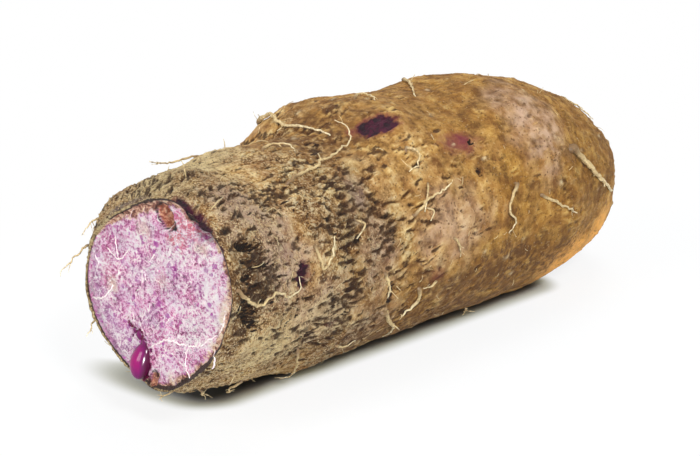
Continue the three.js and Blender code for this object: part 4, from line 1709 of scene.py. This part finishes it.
        # A dark ring around each hollow: painted shade.
        masks["pit_rim_shade"] = 0.7 * np.max([bell(distance - 1.05, 0.17) for distance in hollows], 0)
        for name, mask in masks.items():
            sheet.mark(name, mask, on_cut=True)
        lip = bell(inwards - 0.1, 0.5) * (0.42 + 0.5 * Noise(43)(place, (5, 5, 5)))
        groove = 0.4 * bell(inwards - 1.5, 0.7)
        flesh = 0.28 * Noise(44)(place, (8, 8, 8)) + 0.12 * Noise(45)(place, (2, 2, 2))
        flesh += 0.07 * Noise(46)(place, (0.8, 0.8, 0.8))
        depth = 0.9 * masks["hollow"] + 1.1 * masks["pit"] + self.sunk
        self.cut_relief = lip - groove + flesh * step(0.3, 2.5, inwards) - depth

    def raise_surface(self) -> None:
        """Moves the sheet out by its relief, and rests it on the floor."""
        sheet = self.sheet
        normals = sheet.normals()
        skin_out = normals[sheet.rim :]
        skin_out[0] = unit(skin_out[2] + 1e-6)
        cut_out = np.broadcast_to(self.growth.cut_normal, normals[: sheet.rim + 1].shape)
        rim_share = step(0.0, 1.6, sheet.along)[:, None]
        skin_move = skin_out * (self.relief * (0.45 + 0.55 * rim_share))[..., None]
        cut_move = cut_out * self.cut_relief[..., None]
        skin_move[0] += cut_move[-1]
        skin_move[1] += cut_move[-1] * 0.4
        cut_move[-2] += (skin_move[0] - cut_move[-1]) * 0.6
        cut_move[0], skin_move[-1] = cut_move[0].mean(0), skin_move[-1].mean(0)
        sheet.place[: sheet.rim] += cut_move[:-1]
        sheet.skin[:] += skin_move
        sheet.place[[0, -1]] = sheet.place[[0, -1]].mean(1, keepdims=True)
        sheet.place[..., 2] = np.maximum(sheet.place[..., 2], 0.0)

    def nearest(self, point: Array) -> tuple[Array, Array, float]:
        """The nearest point of the surface, the direction out of it there, and how far off it is."""
        place, out, _, off = self.surface.find_nearest(Vector(point * MM))
        return np.array(place) / MM, np.array(out), off / MM

    def unwrap(self, body: Object, rows: Array, sides: Array) -> None:
        """Unwraps the skin as one sheet slit along the underside, with the cut as a disc beside it.

        Args:
            body: The tuber.
            rows: The row of each vertex.
            sides: The side of each vertex.
        """
        mesh, sheet = body.data, self.sheet
        for layer in list(mesh.uv_layers):
            mesh.uv_layers.remove(layer)
        layer = mesh.uv_layers.new(name=UV_NAME)
        skin_width, margin, cut_scale = 0.715, 0.004, 0.27 / 52.0
        flat = sheet.place - self.growth.origin
        low_across, low_height = flat[: sheet.rim, :, 1].min(), flat[: sheet.rim, :, 2].min()
        starts = np.zeros(len(mesh.polygons), int)
        corners = np.zeros(len(mesh.loops), int)
        mesh.polygons.foreach_get("loop_start", starts)
        mesh.loops.foreach_get("vertex_index", corners)
        row, side = rows[corners], sides[corners].astype(float)
        sizes = np.diff(np.append(starts, len(corners)))
        on_cut = np.repeat(np.minimum.reduceat(row, starts), sizes) < sheet.rim
        tip = row == sheet.rows - 1
        widest = np.maximum.reduceat(np.where(tip, -1, side), starts)
        narrowest = np.minimum.reduceat(np.where(tip, self.sides, side), starts)
        wraps = np.repeat(widest - narrowest, sizes) > self.sides / 2
        side[wraps & (side < self.sides / 2)] += self.sides
        beside_tip = np.add.reduceat(np.where(tip, 0, side), starts) / 2
        side[tip] = np.repeat(beside_tip, sizes)[tip]
        at = flat[row, np.rint(side).astype(int) % self.sides]
        skin_u = margin + side / self.sides * (skin_width - 2 * margin)
        skin_v = margin + (row - sheet.rim) / self.skin_rows * (1 - 2 * margin)
        cut_u = skin_width + 3 * margin + (at[:, 1] - low_across) * cut_scale
        cut_v = margin + (at[:, 2] - low_height) * cut_scale
        corner_uv = np.stack([np.where(on_cut, cut_u, skin_u), np.where(on_cut, cut_v, skin_v)], -1)
        layer.data.foreach_set("uv", corner_uv.ravel())


# --- Threads: rootlets, hairs and fibres ---


@dataclass
class Thread:
    """One thin strand: the points it passes through and its radius at each, in millimetres."""

    points: Array
    radii: Array

    def resampled(self, spacing: float) -> "Thread":
        """The same strand with evenly spaced points on a smooth curve.

        Args:
            spacing: How far apart the points are.

        Returns:
            The strand.
        """
        lengths = np.concatenate([[0.0], np.cumsum(np.linalg.norm(np.diff(self.points, axis=0), axis=1))])
        wanted = np.linspace(0, lengths[-1], max(4, int(round(lengths[-1] / spacing)) + 1))
        index = np.clip(np.searchsorted(lengths, wanted, side="right") - 1, 0, len(lengths) - 2)
        width = (lengths[index + 1] - lengths[index])[:, None]
        share = (wanted - lengths[index])[:, None] / width
        slopes = np.gradient(self.points, lengths, axis=0)
        squared, cubed = share**2, share**3
        points = (2 * cubed - 3 * squared + 1) * self.points[index]
        points += (cubed - 2 * squared + share) * (slopes[index] * width)
        points += (3 * squared - 2 * cubed) * self.points[index + 1]
        points += (cubed - squared) * (slopes[index + 1] * width)
        return Thread(points, np.interp(wanted, lengths, self.radii))


def strand_piece(name: str, threads: list[Thread], sides: int, material: Material) -> Object:
    """Makes threads into one mesh of closed tapering tubes.

    Args:
        name: The piece's name.
        threads: The threads, each from its root to its tip.
        sides: The sides of a tube: 4, 6 or 8.
        material: The piece's material.

    Returns:
        The piece, with how far each vertex is from its root, 0 to 1, kept as "reach".
    """
    line = bpy.data.curves.new(name, "CURVE")
    line.dimensions = "3D"
    line.bevel_mode = "ROUND"
    line.bevel_depth = MM
    line.bevel_resolution = sides // 2 - 2
    line.use_fill_caps = True
    for thread in threads:
        spline = line.splines.new("POLY")
        spline.points.add(len(thread.points) - 1)
        rows = np.concatenate([thread.points * MM, np.ones((len(thread.points), 1))], 1)
        spline.points.foreach_set("co", rows.ravel())
        spline.points.foreach_set("radius", thread.radii)
    chosen(linked(name, line))
    bpy.ops.object.convert(target="MESH")
    piece = bpy.context.object
    piece.name = name
    clear_selection()
    reach = np.concatenate([np.linspace(0, 1, len(thread.points)) for thread in threads])
    marks = np.concatenate([thread.points for thread in threads])
    tree = BVHTree.FromPolygons([tuple(mark) for mark in marks], [(i, i, i) for i in range(len(marks))])
    nearest = [tree.find_nearest(Vector(vertex))[2] for vertex in coordinates(piece)]
    store(piece, "reach", reach[nearest])
    piece.data.materials.clear()
    piece.data.materials.append(material)
    return piece


@dataclass
class Rootlets:
    """The rootlets that the frame places, each with its gnarls, its flared root and a few side hairs."""

    tuber: Tuber
    spacing: float = 0.55
    thickness: float = 0.6
    flare: float = 1.25
    tip: float = 0.3
    gap: float = 0.35
    sink: float = 0.7
    nearer: float = 0.5
    stout: tuple[str, ...] = ("low_curl", "low_reach", "low_drop", "far_thick", "vee")
    raised: tuple[tuple[str, float], ...] = (
        ("low_curl", 4.0), ("low_reach", 3.5), ("low_drop", 3.5), ("side_short", 3.5), ("far_thick", 3.0),
        ("side_long", 2.0), ("wavy", 1.0), ("scar_hook", 1.5), ("shoulder_curl", 1.0),
    )
    wobble: float = 0.22
    sides: int = 8

    def build(self, material: Material) -> list[Object]:
        """Makes a piece for each of the frame's rootlets."""
        names = sorted(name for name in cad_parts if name.startswith("rootlet_"))
        return [self.rootlet(name, index, material) for index, name in enumerate(names)]

    def rootlet(self, name: str, index: int, material: Material) -> Object:
        """One rootlet, which stands for one of the frame's nodes.

        Args:
            name: The node's name.
            index: Its place among them.
            material: The rootlets' material.

        Returns:
            The piece.
        """
        random = np.random.default_rng(500 + index)
        plan = self.centreline(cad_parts[name])
        short = name.removeprefix("rootlet_")
        plan.points[:, 2] += dict(self.raised).get(short, 0.0)
        plan.radii *= 1.35 if short in self.stout else 1.0
        main = self.grown(plan, random)
        threads = [main] + self.side_hairs(main, random)
        return settle(strand_piece("grown_" + name, threads, self.sides, material), Slot.ROOTLET, (name,))

    @staticmethod
    def centreline(node: Object) -> Thread:
        """The middle line of one of the frame's tubes, from its thick end to its thin one.

        Args:
            node: The tube.

        Returns:
            Its middle line.
        """
        corners = np.round(coordinates(node), 3)
        places, index = np.unique(corners, axis=0, return_inverse=True)
        index = index.ravel()
        beside: list[set[int]] = [set() for _ in places]
        for polygon in node.data.polygons:
            ring = [int(index[vertex]) for vertex in polygon.vertices]
            for vertex in ring:
                beside[vertex].update(ring)
        layers = Rootlets.layers(beside, Rootlets.layers(beside, 0)[-1][0])
        points = np.array([places[layer].mean(0) for layer in layers])
        radii = [np.linalg.norm(places[layer] - places[layer].mean(0), axis=1).mean() for layer in layers]
        radii[0], radii[-1] = radii[1], radii[-2]
        if radii[0] < radii[-1]:
            points, radii = points[::-1], radii[::-1]
        return Thread(points, np.array(radii))

    @staticmethod
    def layers(beside: list[set[int]], start: int) -> list[list[int]]:
        """The vertices of a mesh in layers, by how many edges they are from one of them.

        Args:
            beside: The neighbours of each vertex.
            start: The vertex to start from.

        Returns:
            The layers, nearest first.
        """
        seen, layer, found = {start}, [start], [[start]]
        while layer:
            layer = sorted({near for vertex in layer for near in beside[vertex]} - seen)
            seen.update(layer)
            if layer:
                found.append(layer)
        return found

    def grown(self, plan: Thread, random: Random) -> Thread:
        """A rootlet along a middle line, drawn down to the skin and gnarled.

        Args:
            plan: The middle line.
            random: What the gnarls are drawn by.

        Returns:
            The rootlet.
        """
        line = plan.resampled(self.spacing)
        points, count = line.points.copy(), len(line.points)
        share = np.linspace(0, 1, count)
        drop = self.gap + (1 - self.thickness) * line.radii
        for i, point in enumerate(points):
            place, out, off = self.tuber.nearest(point)
            least = line.radii[i] * self.thickness * 0.7
            away = point - place
            way = unit(away) if off > 0.2 and away @ out > 0 else out
            points[i] = place + way * (least + self.nearer * max(off - drop[i] - least, 0.0))
        phase = random.uniform(0, 50, 3)
        wave = np.stack([Noise(60)(np.stack([share * count * 0.3 + p, share * 0, share * 0], -1), (1, 1, 1))
                         for p in phase], -1)
        points += wave * self.wobble * step(0.0, 0.12, share)[:, None]
        root, out, _ = self.tuber.nearest(points[0])
        knots = 1 + 0.16 * np.sin(share * count * 0.55 + phase[0]) * np.sin(share * count * 0.23 + phase[1])
        radii = line.radii.max() * self.thickness * (1 - (1 - self.tip) * share**1.2) * knots
        radii *= 1 + (self.flare - 1) * bell(share, 0.08)
        points = np.concatenate([(root - out * self.sink)[None], points])
        points[:, 2] = np.maximum(points[:, 2], np.concatenate([[radii[0]], radii]) * 0.9)
        return Thread(points, np.concatenate([[radii[0] * 1.1], radii]))

    def side_hairs(self, main: Thread, random: Random) -> list[Thread]:
        """A few fine hairs that branch off a rootlet.

        Args:
            main: The rootlet.
            random: What the hairs are drawn by.

        Returns:
            The hairs.
        """
        hairs = []
        for _ in range(int(random.integers(1, 4))):
            at = int(random.integers(len(main.points) // 3, len(main.points)))
            at = min(at, len(main.points) - 2)
            ahead = unit(main.points[at + 1] - main.points[at])
            aside = unit(np.cross(ahead, random.normal(size=3)))
            length = random.uniform(1.2, 3.4)
            bend = unit(random.normal(size=3)) * 0.5
            share = np.linspace(0, 1, 7)[:, None]
            way = ahead * 0.55 + aside * 0.8
            points = main.points[at] + (way * share + bend * share**2) * length
            points[:, 2] = np.maximum(points[:, 2], 0.15)
            radii = main.radii[at] * np.linspace(0.55, 0.25, 7)
            hairs.append(Thread(points, radii))
        return hairs


@dataclass
class FineHairs:
    """Fine short hairs all over the skin, too small for the frame to carry."""

    tuber: Tuber
    count: int = 160
    seed: int = 71
    named: tuple[tuple[float, tuple[Point, ...]], ...] = (
        (0.34, ((54.8, 62, 0.0), (56.0, 64.5, 1.0), (54.8, 67.5, 1.0), (53.6, 71, 0.3))),
        (0.26, ((82, 70, 0.0), (83.5, 72.5, 0.8), (82, 76, 0.4))),
        (0.3, ((86, 60, 0.2), (84.5, 63, 0.9), (82.5, 67, 0.5), (81, 71, 0.3))),
        (0.2, ((6, 93, 0.0), (5, 90, 0.9), (4, 86, 0.5))),
        (0.16, ((12, 8, 0.0), (14, 4, 1.6), (15, 0, 2.4))),
        (0.14, ((55, -26, 0.0), (57, -29, 2.0), (59, -32, 3.6))),
    )

    def build(self, material: Material) -> Object:
        """Makes all the hairs as one piece.

        Args:
            material: Their material.

        Returns:
            The piece.
        """
        sheet = self.tuber.sheet
        normals = sheet.normals()
        random = np.random.default_rng(self.seed)
        threads = [self.along_skin(radius, route) for radius, route in self.named]
        while len(threads) < self.count + len(self.named):
            at = sheet.near(206 * random.random() ** 1.3, random.uniform(-180, 180))
            if sheet.place[at][2] >= 5:
                threads.append(self.hair(sheet.place[at], normals[at], random))
        return settle(strand_piece("fine_hairs", threads, 4, material), Slot.ROOTLET)

    def along_skin(self, radius: float, route: tuple[Point, ...]) -> Thread:
        """One hair through places on the skin, each a distance along, a turn and a height off it.

        Args:
            radius: Its radius.
            route: The places.

        Returns:
            The hair.
        """
        sheet = self.tuber.sheet
        normals = sheet.normals()
        points = []
        for along, turn, height in route:
            at = sheet.near(along, turn)
            points.append(sheet.place[at] + normals[at] * (height + radius * 0.6))
        points[0] = points[0] - normals[sheet.near(*route[0][:2])] * 0.4
        return Thread(np.array(points), radius * np.linspace(1.1, 0.6, len(route))).resampled(0.5)

    @staticmethod
    def hair(root: Array, out: Array, random: Random) -> Thread:
        """One hair that leaves the skin and lies over.

        Args:
            root: Where it leaves the skin.
            out: The way straight out of the skin.
            random: What it is drawn by.

        Returns:
            The hair.
        """
        length = random.uniform(0.9, 2.4) + 3.2 * random.random() ** 5
        aside = unit(np.cross(out, random.normal(size=3)))
        share = np.linspace(0, 1, 7)[:, None]
        curl = unit(np.cross(aside, out)) * random.normal(0, 0.45)
        lift = random.uniform(0.2, 0.75)
        way = out * lift * (share - 0.55 * share**2) * 1.6 + aside * share + curl * share**2
        points = root - out * 0.25 + way * length
        radius = random.uniform(0.06, 0.13)
        return Thread(points, radius * np.linspace(1.3, 0.5, 7))


@dataclass
class CutFibres:
    """White strands torn up by the knife: the long ones named here, and many short ones."""

    tuber: Tuber
    short: int = 130
    seed: int = 81
    face: Patch = Patch(-7.4, 36, 24.5, 21.0)
    within: float = 0.85
    strands: tuple[tuple[float, Table], ...] = (
        (0.32, ((-5.9, 22.2), (-8.6, 23.8), (-11.3, 25.2), (-16.4, 25.4), (-19.8, 25.8))),
        (0.3, ((-19.8, 25.8), (-23.2, 26.3), (-26.5, 28.4), (-30.4, 31.1))),
        (0.26, ((-19.8, 25.7), (-19.2, 21.1), (-20.6, 18.7))),
        (0.26, ((-29.5, 27.1), (-30, 24.4), (-29.3, 22.7))),
        (0.22, ((13.4, 42.3), (8.8, 40.5), (4, 44.5))), (0.18, ((10.6, 46), (8.8, 40.5))),
        (0.3, ((19.6, 28.4), (14.2, 30), (12.4, 31.4), (10.9, 33.6))),
        (0.2, ((17.8, 35.7), (17.4, 37.9), (18.8, 39.6))), (0.1, ((1.6, 31.4), (0.6, 34.8), (-3.2, 35))),
        (0.14, ((-7.1, 46.2), (-4.6, 44), (-3.2, 42.2))),
        (0.16, ((-30.8, 31.4), (-32.2, 33.6), (-33, 36.6))), (0.14, ((9.6, 35.2), (8.6, 38), (6.8, 39.6))),
    )

    def build(self, material: Material) -> Object:
        """Makes all the strands as one piece.

        Args:
            material: Their material.

        Returns:
            The piece.
        """
        random = np.random.default_rng(self.seed)
        threads = [self.strand(radius, route, random) for radius, route in self.strands]
        while len(threads) < self.short + len(self.strands):
            across, height = random.uniform(-33, 19), random.uniform(14, 58)
            if self.face.distance(across - self.face.first, height - self.face.second) ** 2 > self.within:
                continue
            angle, length = random.uniform(0, math.pi), random.uniform(1.0, 3.4)
            bend = random.normal(0, 0.5)
            share = np.array((0.0, 0.35, 0.7, 1.0))
            way = np.stack([np.cos(angle + bend * share), np.sin(angle + bend * share)], -1)
            route = np.array((across, height)) + way * length * share[:, None]
            threads.append(self.strand(random.uniform(0.06, 0.12), route, random))
        return settle(strand_piece("cut_fibres", threads, 4, material), Slot.FLESH)

    def strand(self, radius: float, route: Table, random: Random) -> Thread:
        """One strand that lies half sunk in the cut.

        Args:
            radius: Its radius.
            route: Its places on the cut.
            random: What its shake is drawn by.

        Returns:
            The strand.
        """
        growth = self.tuber.growth
        points = np.array([growth.on_cut(*place) for place in route])
        plan = Thread(points, np.full(len(route), radius * 0.85))
        line = plan.resampled(0.45)
        normal = Vector(growth.cut_normal)
        for i, point in enumerate(line.points):
            hit = self.tuber.surface.ray_cast(Vector(point * MM) + normal * 0.006, -normal, 0.012)[0]
            if hit is not None:
                line.points[i] = np.array(hit) / MM + growth.cut_normal * radius * 0.15
        shake = random.normal(0, radius * 0.55, line.points.shape)
        line.points += shake - (shake @ growth.cut_normal)[:, None] * growth.cut_normal
        ends = np.sin(np.linspace(0.12, math.pi - 0.12, len(line.radii))) ** 0.5
        radii = line.radii * (0.45 + 0.55 * ends) * random.uniform(0.6, 1.25, len(line.radii))
        return Thread(line.points, radii)


# --- Juice ---


@dataclass
class Juice:
    """The hanging drop of juice and the small beads of the trickle above it."""

    tuber: Tuber
    segments: int = 48
    rings: int = 32
    neck: float = 0.92
    swell: Point = (1.9, 1.32, 1.04)
    shift: Point = (0.5, -1.9, 0.9)
    lean: tuple[float, float] = (1.0, -0.5)
    flat: Point = (0.62, 1.0, 1.15)
    small: tuple[Point, ...] = (
        (-3.0, 22.4, 0.95), (-1.1, 23.9, 1.15), (0.9, 24.6, 0.7), (3.2, 25.5, 0.45), (-5.6, 21.2, 0.45),
        (-3.4, 24.4, 0.3), (1.7, 23.2, 0.3),
    )

    def build(self, material: Material) -> list[Object]:
        """Makes the drop, which stands for the frame's bead, and the trickle."""
        drop = settle(self.drop(material), Slot.JUICE, ("juice_bead",))
        return [drop, settle(self.trickle(material), Slot.JUICE)]

    def drop(self, material: Material) -> Object:
        """The egg-shaped drop: a ball drawn out to a neck at the top.

        Args:
            material: The drop's material.

        Returns:
            The piece.
        """
        low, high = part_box("juice_bead")
        size = (high - low) / 2
        clear_selection()
        bpy.ops.mesh.primitive_uv_sphere_add(
            segments=self.segments, ring_count=self.rings, radius=1.0, location=(low + high) / 2
        )
        bpy.context.object.scale = size * Vector(self.swell)
        drop = applied("juice_drop", material)
        shape = coordinates(drop)
        middle = np.array((low + high) / 2) / MM
        rise = (shape[:, 2] - middle[2]) / (size.z / MM)
        narrow = 1 - (1 - self.neck) * step(-0.2, 1.05, rise)
        shape[:, :2] = middle[:2] + (shape[:, :2] - middle[:2]) * narrow[:, None]
        shape[:, 0] += self.lean[0] * rise
        shape[:, 1] += self.lean[1] * step(0.0, 1.0, rise)
        reshape(drop, shape + self.shift)
        self.shade_facing(drop)
        return drop

    def shade_facing(self, piece: Object, share: float = 1.0) -> None:
        """Keeps how far each vertex faces out of the cut, which the juice's painted shade and painted light
        follow.
        """
        facing = each_vertex(piece, "normal") @ self.tuber.growth.cut_normal
        store(piece, "shade_facing", share * np.maximum(facing, 0.0))

    def trickle(self, material: Material) -> Object:
        """The small beads, each a flattened ball sunk a little into the cut.

        Args:
            material: The beads' material.

        Returns:
            The piece.
        """
        growth = self.tuber.growth
        beads = []
        for across, height, radius in self.small:
            clear_selection()
            place = growth.on_cut(across, height, 0.05) * MM
            ball = {"segments": 20, "ring_count": 12, "radius": radius * MM}
            bpy.ops.mesh.primitive_uv_sphere_add(location=place, **ball)
            bpy.context.object.scale = self.flat
            beads.append(applied("bead"))
        chosen(*beads)
        bpy.ops.object.join()
        trickle = applied("juice_trickle", material)
        self.shade_facing(trickle, 0.7)
        return trickle


# --- The studio ---


@dataclass(frozen=True)
class Lamp:
    """One soft square lamp: where it hangs, what it points at, its side and its power in watts.

    A glint only shows in shiny surfaces, and lights nothing else.
    """

    name: str
    place: Point
    target: Point
    size: float
    power: float
    glint: bool = False

    def hang(self) -> None:
        """Hangs the lamp."""
        holder = linked(self.name, bpy.data.lights.new(self.name, "AREA"))
        holder.data.size, holder.data.energy = self.size * MM, self.power
        place = Vector(self.place)
        holder.location = place * MM
        holder.visible_diffuse = not self.glint
        holder.rotation_euler = (Vector(self.target) - place).to_track_quat("-Z", "Y").to_euler()


@dataclass
class Studio:
    """The camera, the pale floor, the white surroundings and the soft lights."""

    aim: Point = (-5.6, 4.8, 28.6)
    azimuth: float = 36.7
    elevation: float = 15.1
    distance: float = 565.7
    lens: float = 102.86
    ambient: float = 0.43
    floor_size: float = 6000.0
    lamps: tuple[Lamp, ...] = (
        Lamp("key", (-640, -900, 840), (0, 0, 25), 240, 12.6),
        Lamp("side", (-1050, 180, 520), (-60, 0, 30), 500, 6.4),
        Lamp("spark", (-661, -515, 190), (-100, 0, 20), 60, 16.0, glint=True),
        Lamp("top", (560, 160, 1100), (60, 0, 30), 500, 4.6),
    )

    def build(self, floor_material: Material) -> None:
        """Sets up everything around the yam.

        Args:
            floor_material: The floor's material.
        """
        self.camera()
        self.floor(floor_material)
        self.world()
        for lamp in self.lamps:
            lamp.hang()
        bpy.context.scene.view_settings.view_transform = "Standard"

    def camera(self) -> None:
        """Places the camera on its line through the aim."""
        turn, rise = math.radians(self.azimuth), math.radians(self.elevation)
        ahead = Vector((math.cos(turn) * math.cos(rise), math.sin(turn) * math.cos(rise), -math.sin(rise)))
        stand = linked("camera", bpy.data.cameras.new("camera"))
        stand.data.lens, stand.data.sensor_width = self.lens, 36.0
        stand.location = Vector(self.aim) * MM - ahead * self.distance * MM
        stand.rotation_euler = ahead.to_track_quat("-Z", "Y").to_euler()
        bpy.context.scene.camera = stand

    def floor(self, material: Material) -> None:
        """Lays the floor that the yam rests on."""
        bpy.ops.mesh.primitive_grid_add(x_subdivisions=8, y_subdivisions=8, size=self.floor_size * MM)
        applied("pale_floor", material)

    def world(self) -> None:
        """Surrounds the yam with plain light that looks white to the camera."""
        world = bpy.data.worlds.new("white_surroundings")
        world.use_nodes = True
        bpy.context.scene.world = world
        graph = Graph(world.node_tree)
        light, seen = world.node_tree.nodes["Background"], graph.node("Background")
        for node, strength in ((light, self.ambient), (seen, 1.0)):
            graph.feed(node.inputs["Color"], "#ffffff")
            graph.feed(node.inputs["Strength"], strength)
        graph.show(graph.seen(), light.outputs[0], seen.outputs[0])


def main() -> None:
    """Builds the yam and its studio."""
    logging.basicConfig(level=logging.INFO, format="%(message)s")
    effects = Effects()
    growth = Growth()
    Studio().build(FloorFinish(effects).made())
    tuber = Tuber(growth)
    tuber.build(SkinFinish(effects).made(), FleshFinish(effects).made())
    rootlet_finish = RootletFinish(effects).made()
    Rootlets(tuber).build(rootlet_finish)
    FineHairs(tuber).build(rootlet_finish)
    CutFibres(tuber).build(FibreFinish(effects).made())
    Juice(tuber).build(JuiceFinish(effects).made())
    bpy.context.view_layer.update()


if __name__ == "__main__":
    main()
